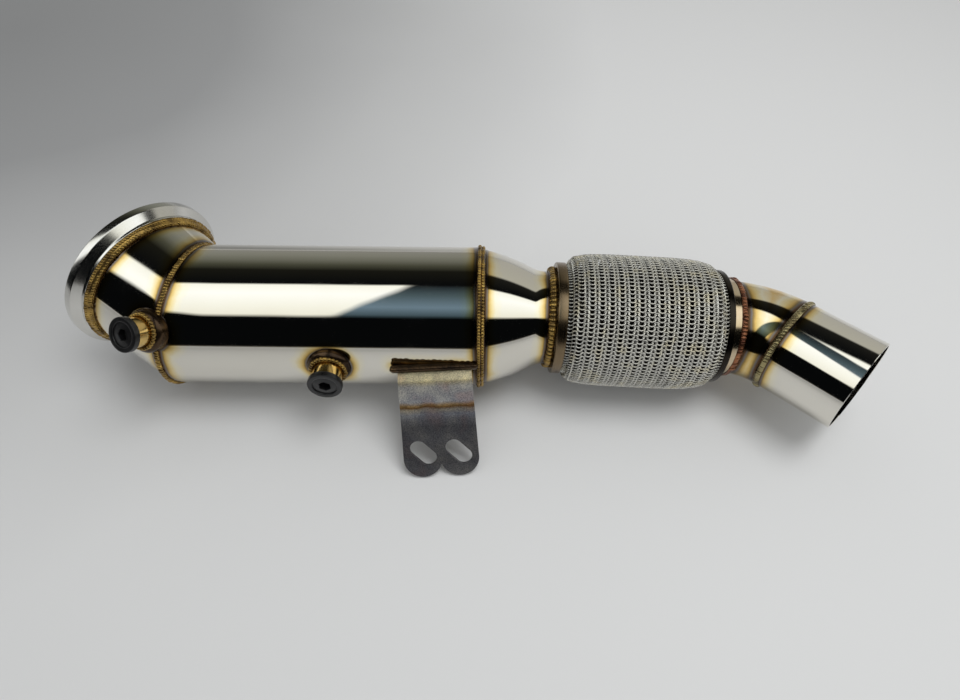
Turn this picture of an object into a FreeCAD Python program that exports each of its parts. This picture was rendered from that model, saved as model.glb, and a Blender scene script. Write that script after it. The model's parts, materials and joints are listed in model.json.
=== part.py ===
import FreeCAD, Part
import math
import os
import Sketcher

# Turbo downpipe, lying as it comes to rest. Millimetres and degrees, +Z up.
# The origin is the centre of the turbo flange's front face. The barrel runs along +X,
# the inlet turns back and up to the flange, and the outlet turns to the front.
# Gas flows from the flange, through the barrel and the flex section, to the outlet tube.

SIZES = {
    "wall": (1.5, "sheet thickness of every tube"),
    "inlet_turn": (35.9, "turn of the inlet axis away from the barrel axis"),
    "inlet_pitch": (9.0, "rise of the inlet axis"),
    "joint_turn": (11.2, "turn of the mitre joint's plane"),
    "joint_pitch": (6.1, "pitch of the mitre joint's plane"),
    "stub_length": (44.6, "mitre joint to the toe of the flange weld, on the axis"),
    "flange_radius": (68.1, "outside radius of the flange rim"),
    "flange_depth": (10.3, "flange rim's outside to the inlet stub's outside"),
    "flange_back": (4.9, "toe of the flange weld to the back of the flange"),
    "flange_boss": (2.0, "length of the boss behind the clamping cone"),
    "flange_cone": (5.3, "length of the clamping cone"),
    "flange_step": (5.8, "height of the clamping cone, from the boss to the rim"),
    "flange_rim": (6.0, "width of the flange rim"),
    "flange_edge": (0.6, "chamfer on the flange's edges"),
    "flange_socket": (3.0, "how far the stub enters the flange"),
    "flange_weld_leg": (3.9, "height of the flange weld above the stub"),
    "barrel_radius": (57.15, "outside radius of the barrel, a 4.5 inch tube"),
    "barrel_length": (238.4, "mitre joint to the barrel's open edge, on the axis"),
    "tube_radius": (38.1, "outside radius of a 3 inch tube"),
    "slip": (0.35, "radial clearance between tubes that slide together"),
    "seat": (0.1, "radial clearance between rings that are pressed together"),
    "reducer_lap": (6.0, "how far the reducer enters the barrel"),
    "reducer_land": (3.4, "straight part of the reducer outside the barrel"),
    "reducer_cone": (44.0, "length of the reducer's curved cone"),
    "reducer_sweep": (170.0, "radius of the cone's curve"),
    "reducer_neck": (8.6, "straight neck from the cone to the flex collar"),
    "spigot": (6.0, "how far the neck enters the flex collar"),
    "flex_turn": (2.0, "turn of the flex section to the front"),
    "flex_drop": (1.2, "drop of the flex section"),
    "flex_length": (148.6, "front edge of the flex section to its rear joint"),
    "collar_depth": (18.0, "length of a collar under the bellows"),
    "front_cap_start": (3.2, "front collar's edge to the front cap"),
    "front_skirt": (7.8, "length of the front cap's skirt"),
    "front_cap_radius": (46.0, "outside radius of the front cap"),
    "rear_cap_end": (10.4, "rear cap's outer face to the rear joint"),
    "rear_skirt": (5.0, "length of the rear cap's skirt"),
    "rear_cap_radius": (46.4, "outside radius of the rear cap"),
    "cap_wall": (1.2, "sheet thickness of a cap"),
    "cap_round": (1.4, "rounding of a cap's outer edge"),
    "braid_radius": (54.3, "outside radius of the braid along its middle"),
    "braid_wall": (1.6, "thickness of the knitted wire sleeve"),
    "front_shoulder": (10.5, "length of the braid's front shoulder"),
    "rear_shoulder": (16.5, "length of the braid's rear shoulder"),
    "front_shoulder_radius": (52.4, "braid radius where its front shoulder ends"),
    "rear_shoulder_radius": (52.4, "braid radius where its rear shoulder starts"),
    "front_shoulder_round": (11.5, "rounding of the front shoulder"),
    "rear_shoulder_round": (27.0, "rounding of the rear shoulder"),
    "shoulder_blend": (20.0, "length over which the braid swells to its full radius"),
    "ridge_count": (13, "number of knitted ridges between the braid's shoulders"),
    "ridge_depth": (0.7, "depth of the valleys between the ridges"),
    "gap_count": (9, "number of gaps round each valley"),
    "gap_length": (16.0, "length of a gap round the braid"),
    "gap_width": (1.5, "width of a gap along the braid"),
    "bellows_wall": (0.5, "sheet thickness of the bellows"),
    "bellows_radius": (48.5, "outside radius of the bellows' crests"),
    "bellows_folds": (10, "number of folds in the bellows"),
    "bellows_tail": (9.0, "straight tail of the bellows on each collar"),
    "liner_wall": (0.8, "sheet thickness of the liner"),
    "liner_gap": (2.0, "gap between the reducer's neck and the liner"),
    "liner_stop": (4.5, "rear end of the liner to the rear joint"),
    "elbow_entry": (4.0, "angle of the joint between the flex section and the elbow"),
    "elbow_bend": (40.2, "bend of the elbow"),
    "elbow_radius": (67.0, "radius of the elbow's centre line"),
    "elbow_roll": (11.5, "lift of the elbow's plane above the flex section"),
    "outlet_length": (61.0, "length of the outlet tube"),
    "outlet_bevel": (0.6, "depth of the bevel that the outlet weld fills"),
    "bead_width": (5.0, "width of a weld bead round a tube"),
    "bead_rise": (1.2, "height of a weld bead above a tube"),
    "lap_bead": (3.2, "leg of a weld bead at a lap joint"),
    "bung_radius": (11.4, "outside radius of a sensor bung"),
    "bung_height": (15.4, "bung's face above the tube"),
    "bung_sunk": (3.0, "bung's foot below the tube's outside"),
    "bung_bore": (9.0, "radius of the bung's M18 thread"),
    "bung_weld_leg": (5.6, "leg of the weld round a bung, along the tube"),
    "bung_weld_height": (4.4, "height of the weld on the bung"),
    "front_bung_back": (9.6, "front bung's axis behind the mitre joint, on the stub's axis"),
    "front_bung_angle": (41.5, "front bung's lift above the horizontal"),
    "rear_bung_back": (116.7, "rear bung's axis to the barrel's open edge"),
    "rear_bung_angle": (8.7, "rear bung's lift above the horizontal"),
    "plug_head_radius": (13.2, "radius of a plug's head"),
    "plug_head": (4.6, "thickness of a plug's head"),
    "plug_edge": (0.8, "chamfer on a plug's head"),
    "plug_shank": (11.0, "length of a plug's thread"),
    "plug_fit": (0.1, "radial clearance of the plug's thread"),
    "hex_flats": (8.0, "width across the flats of a plug's socket"),
    "hex_depth": (6.0, "depth of a plug's socket"),
    "plate": (3.0, "thickness of the bracket"),
    "bracket_back": (34.5, "middle of the bracket to the barrel's open edge"),
    "bracket_stand": (9.1, "bracket's fold outside the barrel's surface"),
    "bracket_angle": (4.4, "lift of the fold above the horizontal"),
    "bracket_turn": (4.0, "turn of the bracket about the vertical"),
    "bracket_slope": (50.8, "slope of the bracket's plate"),
    "bracket_fold": (28.2, "angle folded between the foot and the plate"),
    "fold_round": (4.5, "radius of the fold, at the middle of the sheet"),
    "bracket_half": (28.5, "half the bracket's width at the fold"),
    "bracket_flare": (3.2, "how far the right edge flares out"),
    "bracket_reach": (65.2, "fold to the centres of the two lobes"),
    "lobe_radius": (15.4, "radius of each lobe"),
    "slot_radius": (6.6, "half the width of a slot"),
    "slot_half": (5.6, "half the distance between a slot's end centres"),
    "slot_angle": (46.0, "slant of the slots"),
    "slot_back": (5.4, "slots' centres above the lobes' centres"),
    "slot_inset": (0.6, "slots' centres nearer the middle than the lobes' centres"),
    "foot_bead": (3.3, "radius of the bead along the bracket's foot"),
    "foot_bead_lift": (0.6, "that bead's centre above the foot"),
    "foot_bead_over": (2.6, "how far that bead runs past each edge of the foot"),
}

doc = FreeCAD.newDocument("downpipe")
sheet = doc.addObject("Spreadsheet::Sheet", "Sizes")
for row, (alias, (number, meaning)) in enumerate(SIZES.items(), start=1):
    sheet.set(f"A{row}", alias)
    sheet.set(f"B{row}", str(number))
    sheet.set(f"C{row}", meaning)
    sheet.setAlias(f"B{row}", alias)
doc.recompute()


class Size:
    """A length or an angle: its number, and the expression that binds it to the sheet."""

    def __init__(self, number, text):
        self.number = number
        self.text = text

    def _join(self, other, sign, number):
        return Size(number, f"({self.text} {sign} {as_size(other).text})")

    def __add__(self, other):
        return self._join(other, "+", self.number + as_size(other).number)

    def __sub__(self, other):
        return self._join(other, "-", self.number - as_size(other).number)

    def __mul__(self, other):
        return self._join(other, "*", self.number * as_size(other).number)

    def __truediv__(self, other):
        return self._join(other, "/", self.number / as_size(other).number)

    def __neg__(self):
        return Size(-self.number, f"(0 - {self.text})")


def as_size(value):
    """A plain number as a Size."""
    return value if isinstance(value, Size) else Size(value, repr(float(value)))


def size(alias):
    """The Size that the sheet holds under this alias."""
    return Size(float(getattr(sheet, alias)), f"Sizes.{alias}")


def sine(angle):
    return Size(math.sin(math.radians(angle.number)), f"sin({angle.text} * 1deg)")


def cosine(angle):
    return Size(math.cos(math.radians(angle.number)), f"cos({angle.text} * 1deg)")


def tangent(angle):
    return Size(math.tan(math.radians(angle.number)), f"tan({angle.text} * 1deg)")


def root(value):
    return Size(math.sqrt(value.number), f"sqrt({value.text})")


def bind(thing, **properties):
    """Bind each named property of a document object to its Size."""
    for name, value in properties.items():
        value = as_size(value)
        setattr(thing, name, value.number)
        thing.setExpression(name, value.text)


def new_body(name):
    body = doc.addObject("PartDesign::Body", name)
    body.Label = name
    return body


def new_sketch(body, name, plane):
    """A sketch on one of the body's own origin planes."""
    sketch = body.newObject("Sketcher::SketchObject", name)
    face = next(item for item in body.Origin.OriginFeatures if item.Role == plane)
    sketch.AttachmentSupport = (face, [""])
    sketch.MapMode = "FlatFace"
    return sketch


def fix_point(sketch, geometry, end, across, up):
    """Hold one point of a sketch at two bound distances from its origin."""
    for kind, axis, value in (("DistanceX", -2, as_size(across)), ("DistanceY", -1, as_size(up))):
        if value.number == 0:
            sketch.addConstraint(Sketcher.Constraint("PointOnObject", geometry, end, axis))
            continue
        index = sketch.addConstraint(
            Sketcher.Constraint(kind, -1, 1, geometry, end, value.number))
        sketch.setExpression(f"Constraints[{index}]", value.text)


def arc_through(start, end, radius, side):
    """The shorter arc between two points, bulging to the left of start to end for side 1."""
    half = (end - start) * 0.5
    left = FreeCAD.Vector(-half.y, half.x, 0).normalize()
    centre = start + half - left * side * math.sqrt(max(radius ** 2 - half.Length ** 2, 0.0))
    ends = (end, start) if side > 0 else (start, end)
    angles = [math.atan2(spot.y - centre.y, spot.x - centre.x) for spot in ends]
    if angles[1] < angles[0]:
        angles[1] += 2 * math.pi
    return Part.ArcOfCircle(Part.Circle(centre, FreeCAD.Vector(0, 0, 1), radius), *angles)


def outline(sketch, points):
    """A closed outline through the points, each (across, up) or (across, up, radius, side).

    With a radius, the edge from the point before is an arc that bulges to the left of its
    direction for side 1, and to the right for side -1.
    """
    spots = [FreeCAD.Vector(as_size(p[0]).number, as_size(p[1]).number, 0) for p in points]
    edges = []
    for index, spec in enumerate(points):
        start, end = spots[index - 1], spots[index]
        if len(spec) == 4:
            radius, side = as_size(spec[2]), spec[3]
            edge = sketch.addGeometry(arc_through(start, end, radius.number, side))
            bound = sketch.addConstraint(Sketcher.Constraint("Radius", edge, radius.number))
            sketch.setExpression(f"Constraints[{bound}]", radius.text)
            edges.append((edge, 2, 1) if side > 0 else (edge, 1, 2))
        else:
            edges.append((sketch.addGeometry(Part.LineSegment(start, end)), 1, 2))
    for index, (edge, start, _) in enumerate(edges):
        before, _, before_end = edges[index - 1]
        sketch.addConstraint(Sketcher.Constraint("Coincident", before, before_end, edge, start))
    for (edge, _, end), spec in zip(edges, points):
        fix_point(sketch, edge, end, spec[0], spec[1])
    return sketch


def ring_of(sketch, *radii):
    """Circles round the sketch's origin."""
    for radius in radii:
        edge = sketch.addGeometry(
            Part.Circle(FreeCAD.Vector(), FreeCAD.Vector(0, 0, 1), radius.number))
        sketch.addConstraint(Sketcher.Constraint("Coincident", edge, 3, -1, 1))
        index = sketch.addConstraint(Sketcher.Constraint("Radius", edge, radius.number))
        sketch.setExpression(f"Constraints[{index}]", radius.text)
    return sketch


def turned(name, points, frame):
    """A body turned about its own X axis from a closed outline of (along, radius) points."""
    body = new_body(name)
    sketch = outline(new_sketch(body, f"{name}_section", "XY_Plane"), points)
    turn = body.newObject("PartDesign::Revolution", f"{name}_turn")
    turn.Profile = sketch
    turn.ReferenceAxis = (sketch, ["H_Axis"])
    turn.Angle = 360
    body.Placement = frame
    return body


def tube(name, start, end, outside, thickness, frame):
    """A straight round tube along the frame's X axis."""
    inside = outside - thickness
    points = [(start, inside), (start, outside), (end, outside), (end, inside)]
    return turned(name, points, frame)


def primitive(kind, name, frame, **properties):
    """A Part primitive with its sizes bound to the sheet."""
    thing = doc.addObject(f"Part::{kind}", name)
    bind(thing, **properties)
    thing.Placement = frame
    return thing


def fused(name, *things):
    joined = doc.addObject("Part::MultiFuse", name)
    joined.Shapes = list(things)
    return joined


def cut(name, base, *tools):
    """What is left of the base when each tool in turn has been cut from it."""
    for tool in tools:
        left = doc.addObject("Part::Cut", name if tool is tools[-1] else f"{name}_less")
        left.Base = base
        left.Tool = tool
        base = left
    base.Label = name
    return base


def moved(along=0, across=0, up=0):
    """A placement that only shifts."""
    parts = [as_size(value).number for value in (along, across, up)]
    return FreeCAD.Placement(FreeCAD.Vector(*parts), FreeCAD.Rotation())


def spun(axis, angle):
    """A placement that only turns, about X, Y or Z, by an angle in degrees."""
    direction = {"X": (1, 0, 0), "Y": (0, 1, 0), "Z": (0, 0, 1)}[axis]
    turn = FreeCAD.Rotation(FreeCAD.Vector(*direction), as_size(angle).number)
    return FreeCAD.Placement(FreeCAD.Vector(), turn)


def facing(point, normal, along):
    """A placement at a point, with local Z along the normal and local X nearest to along."""
    across = normal.cross(along).normalize()
    turn = FreeCAD.Rotation(across.cross(normal), across, normal, "ZXY")
    return FreeCAD.Placement(point, turn)


wall = size("wall")
barrel_radius = size("barrel_radius")
barrel_length = size("barrel_length")
tube_radius = size("tube_radius")
stub_length = size("stub_length")
flex_length = size("flex_length")
slip = size("slip")
seat = size("seat")
plate = size("plate")

# Frames. Each has its X axis along the pipe, and its origin on the pipe's centre line.
flange_start = stub_length + size("flange_back")
cone_start = flange_start + size("flange_boss")
rim_start = cone_start + size("flange_cone")
face_reach = rim_start + size("flange_rim")
inlet_turn = spun("Z", as_size(180) - size("inlet_turn")) * spun("Y", -size("inlet_pitch"))
mitre_point = -(inlet_turn.multVec(FreeCAD.Vector(face_reach.number, 0, 0)))
BARREL = FreeCAD.Placement(mitre_point, FreeCAD.Rotation())
INLET = BARREL * inlet_turn
joint_turn = spun("Z", as_size(180) - size("joint_turn")) * spun("Y", -size("joint_pitch"))
JOINT = BARREL * joint_turn

neck_start = (barrel_length + size("reducer_land") + size("reducer_cone")
              + size("reducer_neck"))
FLEX = BARREL * moved(neck_start) * spun("Z", -size("flex_turn")) * spun("Y", size("flex_drop"))
REAR = FLEX * moved(flex_length) * spun("X", -size("elbow_roll"))
half_entry = size("elbow_entry") / 2
REAR_JOINT = REAR * spun("Z", -half_entry)
ELBOW = REAR * spun("Z", -size("elbow_entry"))
elbow_radius = size("elbow_radius")
elbow_bend = size("elbow_bend")
elbow_side = elbow_radius * (as_size(1) - cosine(elbow_bend))
OUTLET = (ELBOW * moved(elbow_radius * sine(elbow_bend), -elbow_side)
          * spun("Z", -elbow_bend))

FRONT_BUNG = (INLET * moved(-size("front_bung_back")) * spun("X", size("front_bung_angle"))
              * spun("Z", 90))
REAR_BUNG = (BARREL * moved(barrel_length - size("rear_bung_back"))
             * spun("X", -size("rear_bung_angle")) * spun("Z", -90))

fold_distance = barrel_radius + size("bracket_stand")
fold_angle = size("bracket_angle")
FOLD = (BARREL * moved(barrel_length - size("bracket_back"),
                       -(fold_distance * cosine(fold_angle)), fold_distance * sine(fold_angle))
        * spun("Z", size("bracket_turn")) * spun("X", size("bracket_slope") + 180))

# The large blocks that cut tubes at a joint's plane, on that plane's local +X side.
BLOCK_RADII = 4
reach = barrel_radius * BLOCK_RADII


def half_space(name, frame):
    corner = frame * moved(0, -(reach / 2), -(reach / 2))
    return primitive("Box", name, corner, Length=reach, Width=reach, Height=reach)


# Turbo flange: a turned ring with a clamping cone, bored to the stub's inside.
flange_radius = size("flange_radius")
flange_edge = size("flange_edge")
boss_radius = flange_radius - size("flange_step")
stub_radius = flange_radius - size("flange_depth")
flange_bore = stub_radius - wall
socket_end = flange_start + size("flange_socket")
socket_radius = stub_radius + seat
turbo_flange = turned("turbo_flange", [
    (flange_start, socket_radius),
    (flange_start, boss_radius),
    (cone_start, boss_radius),
    (rim_start - flange_edge, flange_radius - flange_edge),
    (rim_start, flange_radius),
    (face_reach - flange_edge, flange_radius),
    (face_reach, flange_radius - flange_edge),
    (face_reach, flange_bore),
    (socket_end, flange_bore),
    (socket_end, socket_radius),
], INLET)

# Bungs: threaded bosses through the tube's wall, each with its hole in the tube.
bung_radius = size("bung_radius")
bung_bore = size("bung_bore")
bung_face = barrel_radius + size("bung_height")


def bung_hole(name, frame):
    """The round hole that a bung passes through."""
    start = frame * moved(barrel_radius / 2) * spun("Y", 90)
    return primitive("Cylinder", name, start, Radius=bung_radius + seat, Height=barrel_radius)


front_hole = bung_hole("front_bung_hole", FRONT_BUNG)
rear_hole = bung_hole("rear_bung_hole", REAR_BUNG)

# Inlet stub: from the slanted oval of the mitre joint to the round end in the flange.
pipe_axis = FreeCAD.Vector(1, 0, 0)
joint_normal = JOINT.Rotation.multVec(FreeCAD.Vector(1, 0, 0))
joint_stretch = cosine(size("joint_turn")) * cosine(size("joint_pitch"))
JOINT_OVAL = facing(mitre_point, joint_normal, pipe_axis)
inlet_normal = INLET.Rotation.multVec(FreeCAD.Vector(1, 0, 0))
oval_along = JOINT_OVAL.Rotation.multVec(FreeCAD.Vector(1, 0, 0))


def joint_oval(name, inset, offset=as_size(0)):
    """The slanted section of the barrel at the mitre joint, made smaller by the inset.

    A positive offset moves it along the inlet's axis, and a negative one along the barrel's,
    both measured square to the joint's plane.
    """
    radius = barrel_radius - inset
    axis = inlet_normal if offset.number > 0 else pipe_axis
    centre = mitre_point + axis * (offset.number / joint_normal.dot(axis))
    frame = FreeCAD.Placement(centre, JOINT_OVAL.Rotation)
    return primitive("Ellipse", name, frame, MajorRadius=radius / joint_stretch,
                     MinorRadius=radius)


def stub_circle(name, distance, inset):
    """A round section of the stub at a distance from the mitre joint."""
    centre = INLET.multVec(FreeCAD.Vector(distance.number, 0, 0))
    frame = facing(centre, inlet_normal, oval_along)
    return primitive("Circle", name, frame, Radius=stub_radius - inset)


def stub_loft(name, inset, end):
    loft = doc.addObject("Part::Loft", name)
    loft.Sections = [joint_oval(f"{name}_oval", inset),
                     stub_circle(f"{name}_toe", stub_length, inset),
                     stub_circle(f"{name}_end", end, inset)]
    loft.Solid = True
    loft.Ruled = True
    return loft


stub_outside = stub_loft("stub_outside", as_size(0), socket_end - seat)
stub_inside = stub_loft("stub_inside", wall, socket_end - seat)
inlet_stub = cut("inlet_stub", stub_outside, stub_inside, front_hole)

# Barrel: a tube cut at the mitre joint's plane, with a plain open edge for the reducer.
inlet_side = half_space("inlet_side", JOINT)
mitre_reach = barrel_radius / 2
barrel_blank = tube("barrel_blank", -mitre_reach, barrel_length, barrel_radius, wall, BARREL)
barrel = cut("barrel", barrel_blank, inlet_side, front_hole, rear_hole)

# Filled outer forms, which the welds and the bracket are cut to.
barrel_fill = primitive("Cylinder", "barrel_fill", BARREL * moved(-mitre_reach) * spun("Y", 90),
                        Radius=barrel_radius, Height=barrel_length + mitre_reach)
barrel_rod = cut("barrel_rod", barrel_fill, inlet_side)

# Reducer: a spun cone that laps into the barrel and ends in a neck for the flex collar.
reducer_start = barrel_length - size("reducer_lap")
cone_big = barrel_length + size("reducer_land")
cone_small = cone_big + size("reducer_cone")
lap_radius = barrel_radius - wall - slip
neck_end = neck_start + size("spigot")
sweep = size("reducer_sweep")
# The sheet is square to its curve, so the inside bends a little before the outside.
cone_lag = wall / 4
reducer = turned("reducer", [
    (reducer_start, lap_radius - wall),
    (reducer_start, lap_radius),
    (cone_big, lap_radius),
    (cone_small, tube_radius, sweep, 1),
    (neck_end, tube_radius),
    (neck_end, tube_radius - wall),
    (cone_small - cone_lag, tube_radius - wall),
    (cone_big - cone_lag, lap_radius - wall, sweep - wall, -1),
], BARREL)

# Flex section: collars, liner, bellows, knitted sleeve and the two caps that hold it.
collar_radius = tube_radius + slip + wall
front_collar = tube("front_collar", as_size(0), size("collar_depth"), collar_radius, wall, FLEX)
rear_side = half_space("rear_side", REAR_JOINT)
collar_overrun = collar_radius * tangent(size("elbow_entry"))
collar_blank = tube("rear_collar_blank", flex_length - size("collar_depth"),
                    flex_length + collar_overrun, collar_radius, wall, FLEX)
rear_collar = cut("rear_collar", collar_blank, rear_side)

liner = tube("flex_liner", size("spigot") + size("liner_gap"), flex_length - size("liner_stop"),
             collar_radius - wall - slip, size("liner_wall"), FLEX)

bellows_wall = size("bellows_wall")
tail_radius = collar_radius + seat + bellows_wall
crest = size("bellows_radius")
tail = size("bellows_tail")
front_cap_start = size("front_cap_start")
front_cap_end = front_cap_start + size("front_skirt")
cap_wall = size("cap_wall")
bellows_start = front_cap_start + cap_wall + seat
bellows_end = flex_length - size("rear_cap_end") - cap_wall - seat
folds_start = bellows_start + tail
folds_end = bellows_end - tail
fold_count = size("bellows_folds")
fold_pitch = (folds_end - folds_start) / fold_count
# The sheet leans where it folds, so it is thicker there along the radius.
crest_wall = bellows_wall * 2


def bellows_points():
    """Out along the folds' outside, and back along their inside."""
    outside = [(bellows_start, tail_radius)]
    inside = [(bellows_start, tail_radius - bellows_wall)]
    for index in range(int(fold_count.number)):
        start = folds_start + fold_pitch * index
        middle = start + fold_pitch / 2
        outside += [(start, tail_radius), (middle, crest)]
        inside += [(start, tail_radius - bellows_wall), (middle, crest - crest_wall)]
    outside += [(folds_end, tail_radius), (bellows_end, tail_radius)]
    inside += [(folds_end, tail_radius - bellows_wall),
               (bellows_end, tail_radius - bellows_wall)]
    return outside + inside[::-1]


bellows = turned("bellows", bellows_points(), FLEX)

front_cap_radius = size("front_cap_radius")
rear_cap_radius = size("rear_cap_radius")
rear_cap_end = flex_length - size("rear_cap_end")
rear_cap_start = rear_cap_end - size("rear_skirt")
cap_round = size("cap_round")
cap_bore = collar_radius + seat
front_cap = turned("front_cap", [
    (front_cap_start, cap_bore),
    (front_cap_start, front_cap_radius - cap_round),
    (front_cap_start + cap_round, front_cap_radius, cap_round, 1),
    (front_cap_end, front_cap_radius),
    (front_cap_end, front_cap_radius - cap_wall),
    (front_cap_start + cap_wall, front_cap_radius - cap_wall),
    (front_cap_start + cap_wall, cap_bore),
], FLEX)
rear_cap = turned("rear_cap", [
    (rear_cap_end, cap_bore),
    (rear_cap_end - cap_wall, cap_bore),
    (rear_cap_end - cap_wall, rear_cap_radius - cap_wall),
    (rear_cap_start, rear_cap_radius - cap_wall),
    (rear_cap_start, rear_cap_radius),
    (rear_cap_end - cap_round, rear_cap_radius),
    (rear_cap_end, rear_cap_radius - cap_round, cap_round, 1),
], FLEX)

braid_wall = size("braid_wall")
braid_radius = size("braid_radius")
front_hem = front_cap_radius - cap_wall - seat
rear_hem = rear_cap_radius - cap_wall - seat
hem_start = front_cap_start + cap_wall + seat
hem_end = rear_cap_end - cap_wall - seat
front_swell = front_cap_end + size("front_shoulder")
rear_swell = rear_cap_start - size("rear_shoulder")
blend = size("shoulder_blend")
# The wall is square to its curve, so the inside of a shoulder lies a little behind.
braid_lag = braid_wall / 2


def shoulder_radius(drop, run):
    """The radius of a curve that leaves a straight side and falls by drop over run."""
    return (run * run + drop * drop) / (drop * 2)


front_drop = braid_radius - size("front_shoulder_radius")
rear_drop = braid_radius - size("rear_shoulder_radius")
front_blend = shoulder_radius(front_drop, blend)
rear_blend = shoulder_radius(rear_drop, blend)
ridge_count = size("ridge_count")
ridge_pitch = (rear_swell - front_swell) / ridge_count
valleys = [front_swell + ridge_pitch / 2 + ridge_pitch * index
           for index in range(int(ridge_count.number))]


def braid_at(along):
    """The braid's outside radius at a place between its two shoulders."""
    for level, bend, side in ((front_swell + blend, front_blend, 1),
                              (rear_swell - blend, rear_blend, -1)):
        short = (level - along) * side
        if short.number > 0:
            return braid_radius - bend + root(bend * bend - short * short)
    return braid_radius


def ridge_points():
    """Flat crests and sharp valleys, from the front shoulder to the rear one."""
    quarter = ridge_pitch / 4
    points = []
    for valley in valleys:
        points += [(valley - quarter, braid_at(valley - quarter)),
                   (valley, braid_at(valley) - size("ridge_depth")),
                   (valley + quarter, braid_at(valley + quarter))]
    return points


braid_sleeve = turned("braid_sleeve", [
    (hem_start, front_hem - braid_wall),
    (hem_start, front_hem),
    (front_cap_end, front_hem),
    (front_swell, size("front_shoulder_radius"), size("front_shoulder_round"), 1),
    *ridge_points(),
    (rear_swell, size("rear_shoulder_radius")),
    (rear_cap_start, rear_hem, size("rear_shoulder_round"), 1),
    (hem_end, rear_hem),
    (hem_end, rear_hem - braid_wall),
    (rear_cap_start - braid_lag, rear_hem - braid_wall),
    (rear_swell - braid_lag, size("rear_shoulder_radius") - braid_wall,
     size("rear_shoulder_round") - braid_wall, -1),
    (rear_swell - blend, braid_radius - braid_wall, rear_blend - braid_wall, -1),
    (front_swell + blend, braid_radius - braid_wall),
    (front_swell + braid_lag, size("front_shoulder_radius") - braid_wall,
     front_blend - braid_wall, -1),
    (front_cap_end + braid_lag, front_hem - braid_wall,
     size("front_shoulder_round") - braid_wall, -1),
], FLEX)

# Gaps between the wires, at the bottom of each valley.
gap_sketch = new_sketch(braid_sleeve, "gap_outlines", "XY_Plane")
half_gap = size("gap_width") / 2
half_length = size("gap_length") / 2
for valley in valleys:
    outline(gap_sketch, [
        (valley - half_gap, -half_length),
        (valley + half_gap, -half_length),
        (valley + half_gap, half_length),
        (valley - half_gap, half_length),
    ])
gap_pocket = braid_sleeve.newObject("PartDesign::Pocket", "gap_pocket")
gap_pocket.Profile = gap_sketch
gap_pocket.Reversed = True
bind(gap_pocket, Length=braid_radius + braid_wall)
doc.recompute()
gap_ring = braid_sleeve.newObject("PartDesign::PolarPattern", "gap_ring")
gap_ring.Originals = [gap_pocket]
gap_ring.Axis = (gap_sketch, ["H_Axis"])
gap_ring.Angle = 360
gap_ring.Occurrences = int(size("gap_count").number)
gap_ring.setExpression("Occurrences", size("gap_count").text)
braid_sleeve.Tip = gap_ring

# Elbow: a bent tube, cut at the joint with the flex section.
elbow_body = new_body("elbow_blank")
elbow_ring = ring_of(new_sketch(elbow_body, "elbow_ring", "YZ_Plane"),
                     tube_radius, tube_radius - wall)
start_pad = elbow_body.newObject("PartDesign::Pad", "elbow_start")
start_pad.Profile = elbow_ring
bind(start_pad, Length=tube_radius * tangent(size("elbow_entry")))
start_pad.Reversed = True
bend_ring = ring_of(new_sketch(elbow_body, "bend_ring", "YZ_Plane"),
                    tube_radius, tube_radius - wall)
bend_axis = bend_ring.addGeometry(Part.LineSegment(
    FreeCAD.Vector(-elbow_radius.number, 0, 0),
    FreeCAD.Vector(-elbow_radius.number, tube_radius.number, 0)), True)
fix_point(bend_ring, bend_axis, 1, -elbow_radius, 0)
fix_point(bend_ring, bend_axis, 2, -elbow_radius, tube_radius)
elbow_turn = elbow_body.newObject("PartDesign::Revolution", "elbow_turn")
elbow_turn.Profile = bend_ring
elbow_turn.ReferenceAxis = (bend_ring, ["Axis0"])
bind(elbow_turn, Angle=elbow_bend)
elbow_turn.Reversed = True
elbow_body.Placement = ELBOW
flex_side = half_space("flex_side", REAR_JOINT * spun("Z", 180))
elbow = cut("elbow", elbow_body, flex_side)

# Outlet: a straight tube with a plain open end, bevelled where it is welded to the elbow.
half_bead = size("bead_width") / 2
outlet_bevel = size("outlet_bevel")
outlet_tube = turned("outlet_tube", [
    (0, tube_radius - wall),
    (0, tube_radius - outlet_bevel),
    (half_bead, tube_radius),
    (size("outlet_length"), tube_radius),
    (size("outlet_length"), tube_radius - wall),
], OUTLET)

# Weld beads. Each has a rounded crown, as high as the bead's rise above the chord.
bead_rise = size("bead_rise")
lap_bead = size("lap_bead")
root_depth = wall / 3
CROWN_STEPS = 2


def crowned(start, end):
    """The end of a bead's crown that starts at another point, with its arc to the left."""
    along, up = end[0] - start[0], end[1] - start[1]
    half = root(along * along + up * up) / 2
    return (*end, shoulder_radius(bead_rise, half), 1)


def ring_bead(name, frame, before, after, lean=as_size(0), bevel=as_size(0)):
    """A bead round a joint of the elbow at the frame's origin, between tubes of two radii.

    Its underside clears the tubes where they lean away from the frame and where they bend,
    and its root fills the second tube's bevel.
    """
    bow = half_bead * half_bead / ((elbow_radius - tube_radius) * 2)
    clear = seat + bow + half_bead * tangent(lean)
    high = (-half_bead, before + clear)
    low = (half_bead, after + clear)
    heel = [(seat, low[1] - bevel), (seat, high[1])]
    return turned(name, [*heel, high, crowned(high, low)], frame)


def lap_ring(name, frame, start, high, low, side):
    """A bead in the step from the outer tube's edge, at start, down to the inner tube."""
    heel = (start - lap_bead * side, high)
    toe = (start + lap_bead * side, low)
    crown = [heel, crowned(heel, toe)] if side > 0 else [toe, crowned(toe, heel)]
    step = [(start, low), (start, high)]
    return turned(name, step + crown if side > 0 else step[::-1] + crown, frame)


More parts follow.
